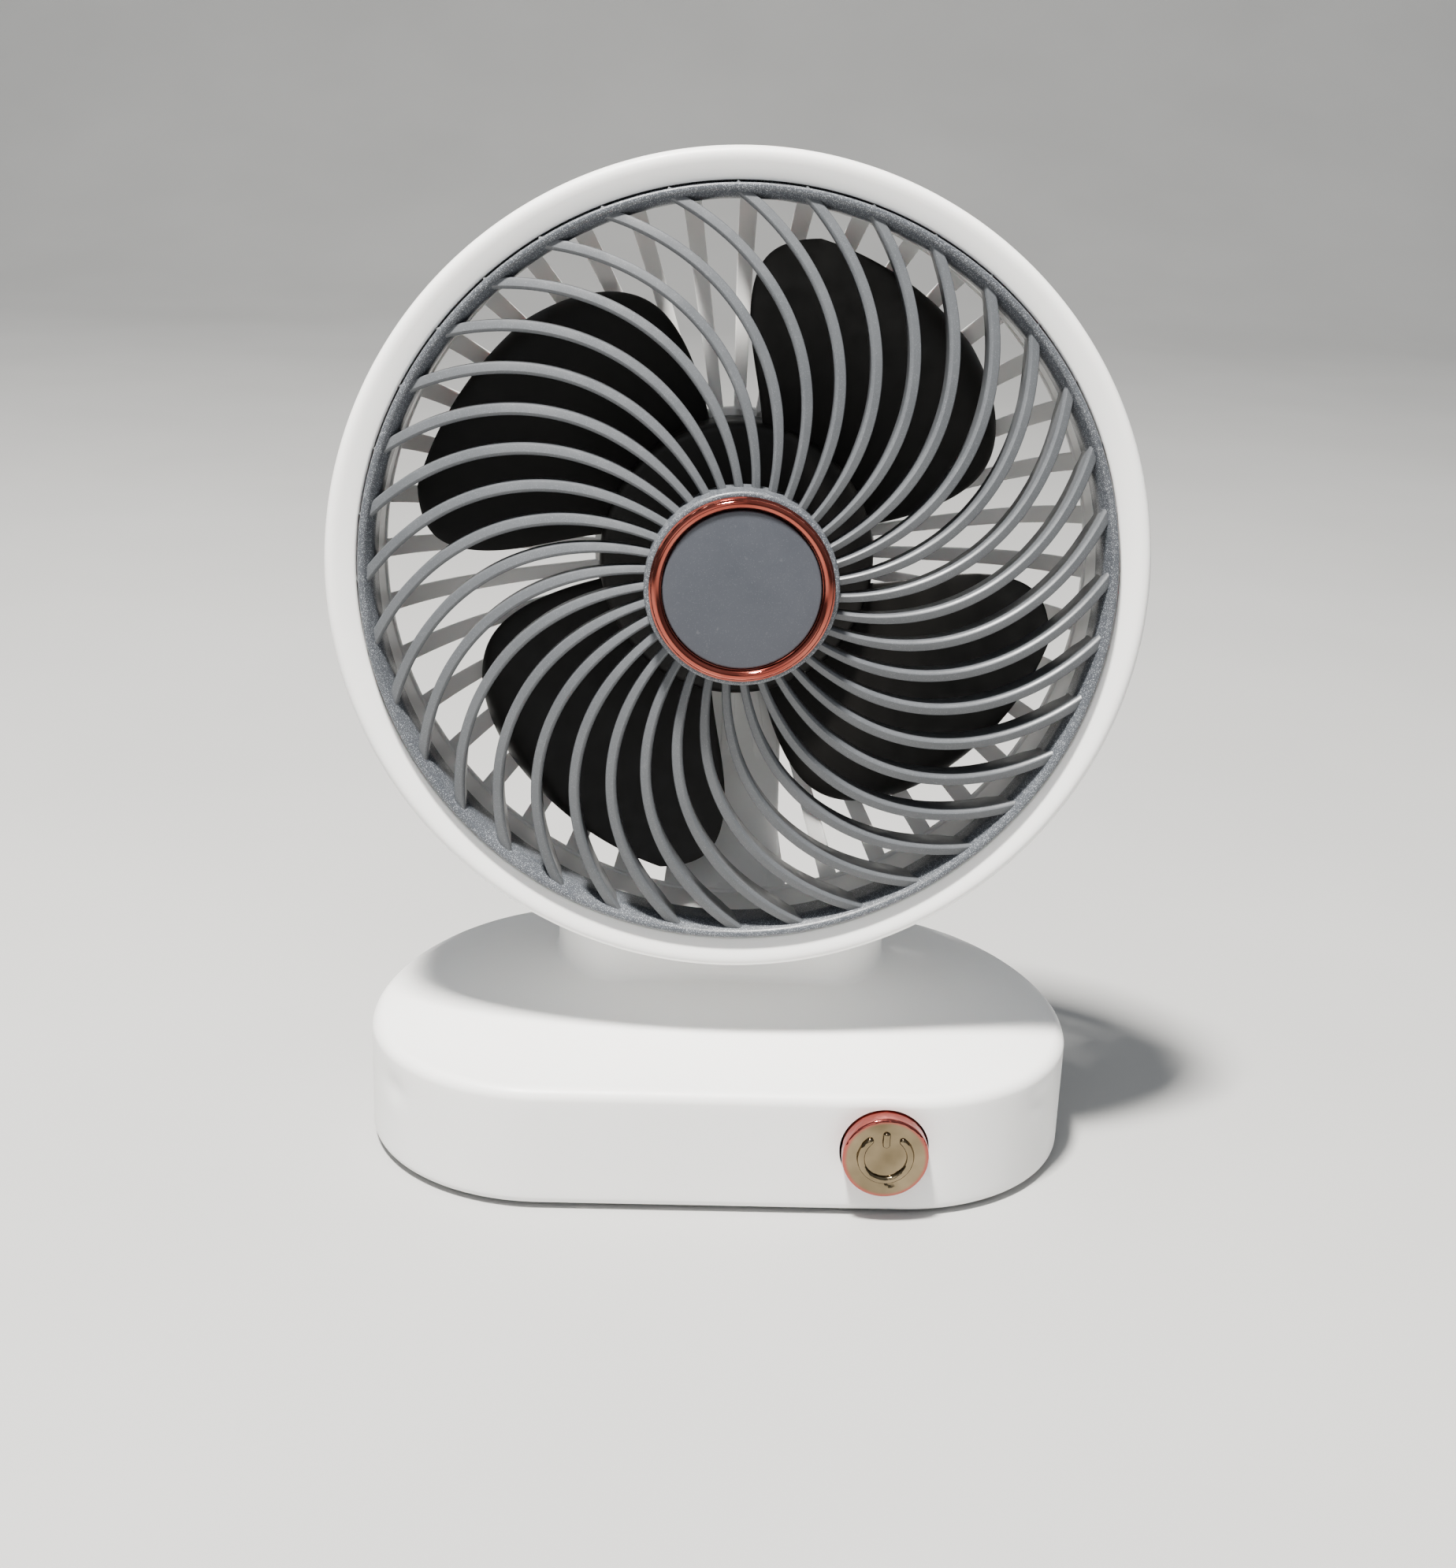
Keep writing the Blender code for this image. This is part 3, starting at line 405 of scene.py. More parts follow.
def slate_plastic(name, dark, light, flake, flake_share, roughness):
    """Grey plastic with metal flake: a few random cells of a very fine Voronoi pattern are lighter."""
    look = Look(name, roughness)
    tone = look.steps(look.noise(60.0, 4.0), [(0.3, dark), (0.7, light)])
    spark = look.span(look.cells(11000.0), 1.0 - flake_share, 1.0 - flake_share * 0.3, 0.0, 1.0)
    tone = look.blend(spark, tone, (*flake, 1.0))
    dust = look.span(look.noise(500.0, 5.0, 0.7), 0.64, 0.80, 0.0, 0.16)
    tone = look.blend(dust, tone, (0.36, 0.37, 0.38, 1.0))
    look.bump(look.cells(7000.0), 0.008, 0.3)
    look.bump(look.noise(1500.0, 3.0), 0.010, 0.4)
    rough = look.span(look.noise(300.0, 4.0), 0.3, 0.7, roughness - 0.06, roughness + 0.08)
    return look.done(tone, rough)


def blade_plastic_painted_shade():
    """Grey plastic painted near-black as shade, the way the blades and the rotor's cup look in shade, with faint
    streaks.
    """
    look = Look("blade_grey_painted_shade", 0.4, specular=0.3)
    # Painted shade: this near-black tone stands for the shade on the rotor, whose plastic is really the grille's
    # grey.
    tone = look.steps(look.noise(70.0, 5.0), [(0.3, (0.0065, 0.006, 0.0055)), (0.75, (0.012, 0.011, 0.010))])
    dust = look.span(look.noise(1400.0, 4.0, 0.7), 0.68, 0.8, 0.0, 0.25)
    tone = look.blend(dust, tone, (0.06, 0.06, 0.057, 1.0))
    look.bump(look.noise(2200.0, 2.0), 0.012, 0.5)
    return look.done(tone, look.span(look.noise(260.0, 4.0), 0.3, 0.7, 0.38, 0.55))


def rose_gold():
    """Mirror-like plating: copper rose darkened to a deep tone as a painted reflection of dark surroundings, fine
    haze in places and the slight ripple of plated plastic.
    """
    look = Look("rose_gold_painted_reflection", 0.08, metallic=1.0)
    # Painted reflection: these deep tones are far darker than rose gold, and stand for the dark surroundings
    # mirrored in the plating.
    tone = look.steps(look.noise(90.0, 3.0), [(0.3, (0.26, 0.055, 0.040)), (0.7, (0.38, 0.105, 0.075))])
    look.bump(look.noise(130.0, 2.0), 0.05, 0.35)
    look.bump(look.noise(900.0, 3.0), 0.006, 0.25)
    return look.done(tone, look.span(look.noise(500.0, 5.0, 0.65), 0.45, 0.8, 0.05, 0.18))


def champagne_gold(middle, inner, outer):
    """The button's plating: champagne on the face and rose on the rim, both darkened well below real plating as a
    painted reflection of dark surroundings. The tone turns from one to the other between two distances from the
    button's axis, which runs front to back through a given middle."""
    look = Look("champagne_painted_reflection", 0.07, metallic=1.0)
    apart = look.nodes.new("ShaderNodeVectorMath")
    apart.operation = "SUBTRACT"
    apart.inputs[1].default_value = middle
    look.links.new(look.where, apart.inputs[0])
    flat = look.nodes.new("ShaderNodeVectorMath")
    flat.operation = "MULTIPLY"
    flat.inputs[1].default_value = (1.0, 0.0, 1.0)
    look.links.new(apart.outputs["Vector"], flat.inputs[0])
    reach = look.nodes.new("ShaderNodeVectorMath")
    reach.operation = "LENGTH"
    look.links.new(flat.outputs["Vector"], reach.inputs[0])
    # Painted reflection: the face and rim tones are darkened to stand for dark surroundings mirrored in the
    # plating.
    face = look.steps(look.noise(110.0, 3.0), [(0.3, (0.13, 0.10, 0.056)), (0.7, (0.25, 0.195, 0.12))])
    rim = look.span(reach.outputs["Value"], inner * MM, outer * MM, 0.0, 1.0)
    tone = look.blend(rim, face, (0.35, 0.085, 0.07, 1.0))
    look.bump(look.noise(240.0, 2.0), 0.5, 1.0)
    look.bump(look.noise(900.0, 3.0), 0.006, 0.25)
    return look.done(tone, look.span(look.noise(600.0, 5.0, 0.65), 0.45, 0.8, 0.05, 0.2))


def metal(name, dark, light, roughness, stretch=(1.0, 1.0, 1.0)):
    """Bare metal with clouded tone, and scratches where the noise is stretched along one axis."""
    look = Look(name, roughness, metallic=1.0)
    tone = look.steps(look.noise(220.0, 5.0, 0.6), [(0.3, dark), (0.7, light)])
    mapping = look.nodes.new("ShaderNodeMapping")
    mapping.inputs["Scale"].default_value = stretch
    look.links.new(look.where, mapping.inputs["Vector"])
    look.where = mapping.outputs["Vector"]
    look.bump(look.noise(1800.0, 4.0, 0.6), 0.01, 0.4)
    return look.done(tone, look.span(look.noise(900.0, 4.0), 0.3, 0.7, roughness - 0.08, roughness + 0.12))


def dielectric(name, dark, light, low_rough, high_rough, grain, depth):
    """A plain hidden material: clouded tone, uneven gloss and a grain of given fineness and depth."""
    look = Look(name, low_rough)
    tone = look.steps(look.noise(180.0, 4.0), [(0.3, dark), (0.7, light)])
    look.bump(look.noise(grain, 3.0), depth, 0.5)
    return look.done(tone, look.span(look.noise(500.0, 4.0), 0.3, 0.7, low_rough, high_rough))


def circuit_laminate():
    """Green board with paler copper areas under the mask, in about half the cells of a Voronoi pattern."""
    look = Look("board_green", 0.35)
    copper = look.span(look.cells(700.0), 0.55, 0.6, 0.0, 1.0)
    tone = look.blend(copper, (0.012, 0.085, 0.035, 1.0), (0.03, 0.16, 0.06, 1.0))
    look.bump(copper, 0.03, 0.4)
    return look.done(tone, look.span(look.noise(900.0, 3.0), 0.3, 0.7, 0.28, 0.42))


LOOKS = {
    "white_plastic": white_plastic(),
    "grey_plastic": slate_plastic("slate_bars", (0.066, 0.071, 0.078), (0.080, 0.085, 0.092),
                                  (0.16, 0.17, 0.185), 0.05, 0.36),
    "rim": slate_plastic("slate_flake", (0.046, 0.051, 0.060), (0.060, 0.066, 0.076),
                         (0.42, 0.44, 0.47), 0.12, 0.38),
    "cap": slate_plastic("slate_cap", (0.034, 0.038, 0.048), (0.042, 0.046, 0.057),
                         (0.08, 0.088, 0.10), 0.03, 0.5),
    "button": champagne_gold(tuple(float(v) * MM for v in (BUTTON_X, 0.0, BUTTON_Z)), 8.2, 8.9),
    # Painted shade: the rotor's grey plastic is painted near-black here.
    "dark_plastic": blade_plastic_painted_shade(),
    "rose_gold": rose_gold(),
    "steel": metal("plain_steel", (0.42, 0.42, 0.43), (0.58, 0.58, 0.59), 0.3, (1.0, 1.0, 0.15)),
    "brass": metal("plain_brass", (0.55, 0.40, 0.16), (0.75, 0.57, 0.26), 0.28),
    "copper": metal("winding_copper", (0.48, 0.20, 0.10), (0.70, 0.34, 0.18), 0.38, (1.0, 0.2, 1.0)),
    "rubber": dielectric("foot_rubber", (0.035, 0.035, 0.035), (0.06, 0.06, 0.06), 0.75, 0.95, 1500.0, 0.05),
    "circuit_board": circuit_laminate(),
    "cell_wrap": dielectric("cell_wrap_blue", (0.03, 0.11, 0.30), (0.05, 0.16, 0.38), 0.25, 0.4, 300.0, 0.02),
}


# ------------------------------------------------------------------ head
def make_bezel():
    """The white ring: its section is a channel open to the back, whose face slopes in to the lip."""
    inside, lip_outside = BEZEL_RADIUS - BEZEL_WALL, LIP_RADIUS + BEZEL_WALL
    section = rounded([(BEZEL_RADIUS, BEZEL_BACK, 0.4), (BEZEL_RADIUS, 0.05, 3.2), (LIP_RADIUS, -2.1, 0.6),
                       (LIP_RADIUS, LIP_BACK, 0.3), (lip_outside, LIP_BACK, 0.3), (lip_outside, -3.6, 0.4),
                       (inside, -3.0, 0.6), (inside, BEZEL_BACK, 0.4)], 8)
    return mesh_piece("bezel_ring", [(in_head(turned(section, 288)), True, True)])


def make_rim():
    """The grille's rim: a rolled outer lip, a funnel that falls inwards, and a skirt to the back."""
    under_lip, lip = LIP_BACK - 0.4, LIP_RADIUS - 0.5
    section = rounded([(SKIRT_RADIUS, SKIRT_BACK, 0.3), (SKIRT_RADIUS, under_lip, 0.2), (lip, under_lip, 0.2),
                       (lip, 0.0, 0.9), (76.7, -0.05, 0.9), (RIM_RADIUS, -2.9, 1.6),
                       (RIM_RADIUS, SKIRT_BACK, 0.4)], 8)
    return mesh_piece("grille_rim", [(in_head(turned(section, 288)), True, True)])


def make_front_bars():
    """36 spiral fins. For t from the hub to the rim, the radius is 19.6 + 55.4 t, the turn is
    3.27 + 20.34 t + 16.73 t^2 degrees and the front edge is at -0.5 + 8 (1 - t^2), so that the tip runs into
    the funnel's slope. The section is a fin that narrows to the back, and its front has a wide facet, a ridge
    on the anticlockwise side and a narrow facet beyond it. A row of its shape gives a share of the half
    width, a height in mm and a share of the depth."""
    t = np.linspace(-0.03, 1.045, 72)
    radius = HUB_RADIUS + 55.4 * t
    angle = np.radians(3.27 + 20.34 * t + 16.73 * t * t)
    centre = np.stack([radius * np.cos(angle), radius * np.sin(angle)], -1)
    along = np.gradient(centre, axis=0)
    along /= np.linalg.norm(along, axis=1)[:, None]
    side = np.stack([-along[:, 1], along[:, 0]], -1)
    half = (1.8 + 0.5 * smooth(t / 0.35)) / 2.0
    depth = 5.2 + 4.4 * t - 1.6 * smooth((t - 0.96) / 0.04)
    shape = np.array([[-1.0, -0.95, 0], [-0.97, -0.62, 0], [-0.86, -0.44, 0], [-0.70, -0.36, 0],
                      [0.28, -0.03, 0], [0.40, 0.0, 0], [0.54, -0.06, 0], [0.86, -0.40, 0], [0.97, -0.58, 0],
                      [1.0, -0.85, 0], [0.74, 0.4, 1], [0.6, 0.0, 1], [-0.6, 0.0, 1], [-0.74, 0.4, 1]])
    across = half[:, None] * shape[None, :, 0]
    height = shape[None, :, 1] - depth[:, None] * shape[None, :, 2]
    front = -0.5 + 8.0 * (1.0 - t * t)
    bar = carried(centre, side, front, np.stack([across, height], -1))
    bars = spun(ended(bar), FRONT_BARS)
    return mesh_piece("grille_bars", [(in_head(bars), False, True)], 28.0)


def make_hub():
    """The grille's hub: a cylinder with a rolled edge, a recess for the cap and a hollow back."""
    recess, hollow, ceiling = 16.3, HUB_RADIUS - 2.0, 9.2
    section = rounded([(0.0, HUB_FRONT - 2.0, 0), (recess, HUB_FRONT - 2.0, 0.2), (recess, HUB_FRONT, 0.2),
                       (HUB_RADIUS, HUB_FRONT + 0.1, 0.9), (HUB_RADIUS, HUB_BACK, 0.4),
                       (hollow, HUB_BACK, 0.3), (hollow, ceiling, 0.6), (0.0, ceiling, 0)], 8, closed=False)
    return mesh_piece("grille_hub", [(in_head(turned(section, 160)), True, False)])


def make_hub_ring():
    """The plated ring: a narrow flange on each side of a high round crown."""
    angle = np.pi * np.linspace(0.0, 1.0, 25)
    crown = np.stack([17.25 - 1.02 * np.cos(angle), HUB_FRONT + 0.75 + 1.2 * np.sin(angle)], -1)
    inner_edge = np.array([[16.05, HUB_FRONT + 0.3], [16.05, HUB_FRONT + 0.65]])
    outer_edge = np.array([[18.55, HUB_FRONT + 0.65], [18.6, HUB_FRONT + 0.3]])
    section = np.concatenate([inner_edge, crown, outer_edge])
    return mesh_piece("hub_ring_plated", [(in_head(turned(section, 192)), True, True)], 40.0)


def make_hub_cap():
    """The flat cap with a fine rounded edge."""
    top, bottom = HUB_FRONT + 1.1, HUB_FRONT - 1.7
    section = rounded([(0.0, top, 0), (CAP_RADIUS, top, 0.4), (CAP_RADIUS, bottom, 0.2), (0.0, bottom, 0)],
                      6, closed=False)
    return mesh_piece("hub_cap_disc", [(in_head(turned(section, 160)), True, False)])


def guard_share(radius):
    """How far out a radius is on the rear guard, from 0 at the plate to 1 at the drum."""
    return np.clip((radius - GUARD_PLATE) / (DRUM_RADIUS - GUARD_PLATE), 0.0, 1.0)


def guard_line(radius):
    """Place along the axis of the rear guard's inner face: -38.5 + 14.8 s^4, with s from guard_share."""
    return PLATE_FRONT + 14.8 * guard_share(radius) ** 4


def make_drum():
    """The drum round the rotor: a flange in the bezel's channel and a slightly tapered wall."""
    section = rounded([(FLANGE_RADIUS, FLANGE_FRONT, 0.3), (FLANGE_RADIUS, -12.9, 0.4), (77.7, -13.1, 0.8),
                       (DRUM_OUTSIDE, DRUM_BACK, 0.25), (DRUM_RADIUS, DRUM_BACK, 0.25),
                       (DRUM_RADIUS, FLANGE_FRONT, 0.4)], 6)
    return mesh_piece("drum_wall", [(in_head(turned(section, 288)), True, True)])


def make_guard_bars():
    """40 straight bars of rounded section that follow guard_line, 2 mm thick, with a half width of
    1.3 + 0.7 s and s from guard_share. A ring ends them, and they start from a plate with a collar behind."""
    radius = np.linspace(GUARD_PLATE - 2.0, DRUM_RADIUS + 0.9, 44)
    half = 1.3 + 0.7 * guard_share(radius)
    shape = rounded([(-1.0, 0.0, 0.3), (1.0, 0.0, 0.3), (0.9, -2.0, 0.3), (-0.9, -2.0, 0.3)], 4)
    across = half[:, None] * shape[None, :, 0]
    section = np.stack([across, np.broadcast_to(shape[None, :, 1], across.shape)], -1)
    centre = np.stack([radius, 0.0 * radius], -1)
    side = np.stack([0.0 * radius, 1.0 + 0.0 * radius], -1)
    bar = carried(centre, side, guard_line(radius), section)
    ring_front, ring_back, ring_inside = DRUM_BACK - 0.3, -25.6, DRUM_RADIUS - 0.4
    ring = rounded([(DRUM_OUTSIDE, ring_front, 0.25), (DRUM_OUTSIDE - 0.1, ring_back, 1.2),
                    (ring_inside, ring_back, 0.8), (ring_inside, ring_front, 0.25)], 6)
    collar, collar_back = PLATE_BORE + 1.8, PLATE_BACK - 3.5
    plate = rounded([(GUARD_PLATE, PLATE_FRONT, 0.5), (GUARD_PLATE, PLATE_BACK, 0.9),
                     (collar, PLATE_BACK, 0.5), (collar, collar_back, 0.4), (PLATE_BORE, collar_back, 0.4),
                     (PLATE_BORE, PLATE_FRONT, 0.4)], 5)
    grids = [(in_head(spun(ended(bar), REAR_BARS)), False, True), (in_head(turned(ring, 288)), True, True),
             (in_head(turned(plate, 128)), True, True)]
    return mesh_piece("guard_bars", grids)


def make_spine():
    """The arm down the back of the guard: a rectangle with round corners carried from the motor down to the
    hinge. At each height y it reaches from a rear curve to a front curve, which are two rounded outlines read
    off at that height. A knuckle with a bore ends it."""
    offset = HINGE - HEAD
    pivot_y, pivot_z = offset @ UP, offset @ AXIS
    start_y, tip_front, tip_rear = -27.0, pivot_z + 4.6, pivot_z - 5.0
    front = rounded([(start_y, -39.3, 0), (-45.0, -38.9, 4), (-60.0, -35.0, 4), (-70.5, -28.5, 3),
                     (-DRUM_RADIUS + 0.4, -24.6, 1), (-DRUM_RADIUS - 4.0, -25.0, 3),
                     (pivot_y + 8.0, tip_front, 5), (pivot_y, tip_front, 0)], 7, closed=False)
    rear = rounded([(start_y, -46.5, 0), (-68.0, -46.0, 7), (pivot_y + 8.0, tip_rear, 5),
                    (pivot_y, tip_rear, 0)], 7, closed=False)
    y = np.linspace(start_y, pivot_y, 120)
    ahead, behind = (np.interp(-y, -curve[:, 0], curve[:, 1]) for curve in (front, rear))
    half_depth = 3.0
    section = slot_outline(SPINE_HALF_WIDTH, half_depth, 1.1, 12)
    half = (ahead - behind)[:, None] / 2.0
    depth = section[None, :, 1] + np.sign(section[None, :, 1]) * (half - half_depth)
    x, height = (np.broadcast_to(part, depth.shape) for part in (section[None, :, 0], y[:, None]))
    grid = np.stack([x, height, (ahead + behind)[:, None] / 2.0 + depth], -1)
    end_x, outside, bore = SPINE_HALF_WIDTH + 0.5, 6.0, 2.3
    knuckle = turned(rounded([(outside, -end_x, 0.6), (outside, end_x, 0.6), (bore, end_x, 0.3),
                              (bore, -end_x, 0.3)], 4), 64)
    knuckle = np.stack([knuckle[..., 2], pivot_y + knuckle[..., 0], pivot_z + knuckle[..., 1]], -1)
    return mesh_piece("guard_spine", [(in_head(ended(grid)), False, True), (in_head(knuckle), True, True)])


def make_motor_cover():
    """The cover behind the motor: a shallow rounded drum with three vents."""
    outside, inside, rim = 24.0, 22.2, PLATE_BACK - 0.3
    section = rounded([(0.0, -51.6, 0), (21.6, -51.1, 3.0), (outside, -48.4, 1.5), (outside, rim, 0.3),
                       (inside, rim, 0.3), (inside, -47.8, 1.0), (20.9, -49.2, 1.0), (0.0, -49.7, 0)],
                      6, closed=False)
    piece = mesh_piece("motor_cover_dome", [(in_head(turned(section, 128)), True, False)])
    slot = stacked(oval(9.0, 0.9, 12), (-54.0, -53.9, -47.1, -47.0))
    slots = np.stack([ended(slot) + np.array([0.0, y, 0.0]) for y in (-5.0, 0.0, 5.0)])
    cut_with(piece, mesh_piece("vent_cutter", [(in_head(slots), False, True)]))
    return piece


def make_rotor_hub():
    """The rotor's cup with a rolled front edge and a boss for the shaft."""
    bore, boss, boss_back = 1.3, 4.0, -29.6
    inside, ceiling = ROTOR_HUB - 1.6, ROTOR_FRONT - 1.8
    section = rounded([(bore, ROTOR_FRONT, 0.2), (ROTOR_HUB, ROTOR_FRONT + 0.02, 1.8),
                       (ROTOR_HUB, ROTOR_BACK, 0.4), (inside, ROTOR_BACK, 0.3), (inside, ceiling, 0.8),
                       (boss, ceiling, 0.4), (boss, boss_back, 0.3), (bore, boss_back, 0.2)], 6)
    return mesh_piece("rotor_cup", [(in_head(turned(section, 160)), True, True)])


def make_blades():
    """Four paddles. Across the blade, v runs from the trailing to the leading edge; along it, u runs from hub
    to tip. Radius is 28.7 + (67.1 + 2 v - 28.7) u, and the turn runs from 13 + 11.8 u^2 + 18.8 u^8.5 degrees
    to 81 + 8.1 sin(0.815 pi u) - 7.7 u^15.9 degrees. The two skins lie 0.8 mm either side of the middle, and
    meet along the tip and both long edges. The root is closed by a strip inside the hub."""
    u, v = np.meshgrid(np.linspace(0.0, 1.0, 49), np.linspace(0.0, 1.0, 41), indexing="ij")
    u = 1.0 - (1.0 - u) ** 1.6
    v = 0.5 - 0.5 * np.cos(np.pi * v)
    root_radius = 28.7
    radius = root_radius + (67.1 + 2.0 * v - root_radius) * u
    low = 13.0 + 11.8 * u ** 2 + 18.8 * u ** 8.5
    high = 81.0 + 8.1 * np.sin(0.815 * np.pi * u) - 7.7 * u ** 15.9
    angle = np.radians(low + (high - low) * v)
    middle = -33.7 + 5.0 * u + (9.5 + 3.0 * u) * v + 1.2 * np.sin(np.pi * v) * u
    edge = (1.0 - (2.0 * v - 1.0) ** 10) * (1.0 - u ** 24)
    half = 0.8 * np.sqrt(np.clip(edge, 0.0, 1.0))
    skins = [np.stack([radius * np.cos(angle), radius * np.sin(angle), middle + sign * half], -1)
             for sign in (1.0, -1.0)]
    root = np.stack([skins[0][0], skins[1][0]])
    grids = [(in_head(spun(skin, BLADES)), False, False) for skin in skins]
    grids.append((in_head(spun(root, BLADES)), False, False))
    return mesh_piece("rotor_blades", grids, 50.0)


def screw_heads(name, places, radius, top, seat, length, shank, frame_of):
    """Round-headed screws: a domed head with a cross recess on a straight shank. The outline of (radius, z)
    runs from the middle of the head's top to the shank's tip, and is turned about each place's own axis."""
    way = np.sign(seat - top)
    tip = seat + way * length
    outline = rounded([(0.0, top, 0), (radius * 0.7, top, 0.5), (radius, top + way * 0.35, 0.3),
                       (radius, seat, 0.15), (shank, seat, 0.15), (shank, seat + way * (length - 0.6), 0.3),
                       (shank * 0.4, tip, 0.2), (0.0, tip, 0)], 5, closed=False)
    heads = turned(outline, 48)
    centres = np.array([[x, y, 0.0] for x, y in places])
    piece = mesh_piece(name, [(frame_of(heads + centre), True, False) for centre in centres])
    reach, half = radius * 0.62, radius * 0.14
    arm = np.array([[reach, -half, 0.0], [reach, half, 0.0], [half, half, 0.0]])
    cross = spun(arm, 4).reshape(-1, 3)
    cross[:, 2] = radius * 0.06
    recess = stacked(rounded(cross, 3), [top + way * depth for depth in (-1.0, -0.9, 0.4, 0.45)])
    recesses = np.stack([ended(recess + centre) for centre in centres])
    cut_with(piece, mesh_piece("cross_cutter", [(frame_of(recesses), False, True)]))
    return piece


def make_housing_screws():
    """Four screws through the drum's flange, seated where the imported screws' heads sit."""
    turned_to = np.radians([45.0, 135.0, 225.0, 315.0])
    places = FLANGE_SCREW_CIRCLE * np.stack([np.cos(turned_to), np.sin(turned_to)], -1)
    return screw_heads("flange_screws", places, 2.1, -14.7, -13.5, 7.0, 1.0, in_head)


def mirrored(x, y):
    """The four places at x and y either side of the middle."""
    return [(sign_x * x, sign_y * y) for sign_x in (-1.0, 1.0) for sign_y in (-1.0, 1.0)]


def make_base_screws():
    """Four screws that hold the bottom plate, sunk in its recesses."""
    return screw_heads("bottom_screws", mirrored(*BASE_SCREWS), 2.7, 1.1, 1.9, 10.0, 1.1, in_base)


def make_feet():
    """Four rubber feet: low discs with a rounded rim and a shallow ring pressed into the sole."""
    radius, height = 5.0, 1.3
    outline = rounded([(0.0, 0.15, 0), (3.2, 0.12, 0.4), (3.5, 0.0, 0.2), (radius, 0.0, 0.5),
                       (radius, height, 0.2), (0.0, height, 0)], 5, closed=False)
    foot = turned(outline, 64)
    centres = np.array([[x, y, 0.0] for x, y in mirrored(*FEET)])
    return mesh_piece("rubber_feet", [(in_base(foot + centre), True, False) for centre in centres])


# ------------------------------------------------------------------ base
def back_edge(x):
    """Distance of the base's outline behind its middle line: a half circle at each end, level between."""
    over = np.clip(np.abs(x) - (HALF_WIDTH - HALF_DEPTH), 0.0, HALF_DEPTH)
    return np.sqrt(HALF_DEPTH ** 2 - over ** 2)


def deck(x, y):
    """Height of the base's top: an eased climb from the front edge to a soft crease, then a slight fall."""
    edge = back_edge(x)
    ridge = CREASE * edge
    across = np.clip(1.0 - (x / HALF_WIDTH) ** 2, 0.0, 1.0) ** 0.7
    climb = smooth((y + edge + 0.001) / (ridge + edge + 0.001))
    beyond = y - ridge
    fall = 0.5 * (beyond + np.sqrt(beyond ** 2 + 2.0))
    return DECK_EDGE + DECK_RISE * across * climb - FALL * fall


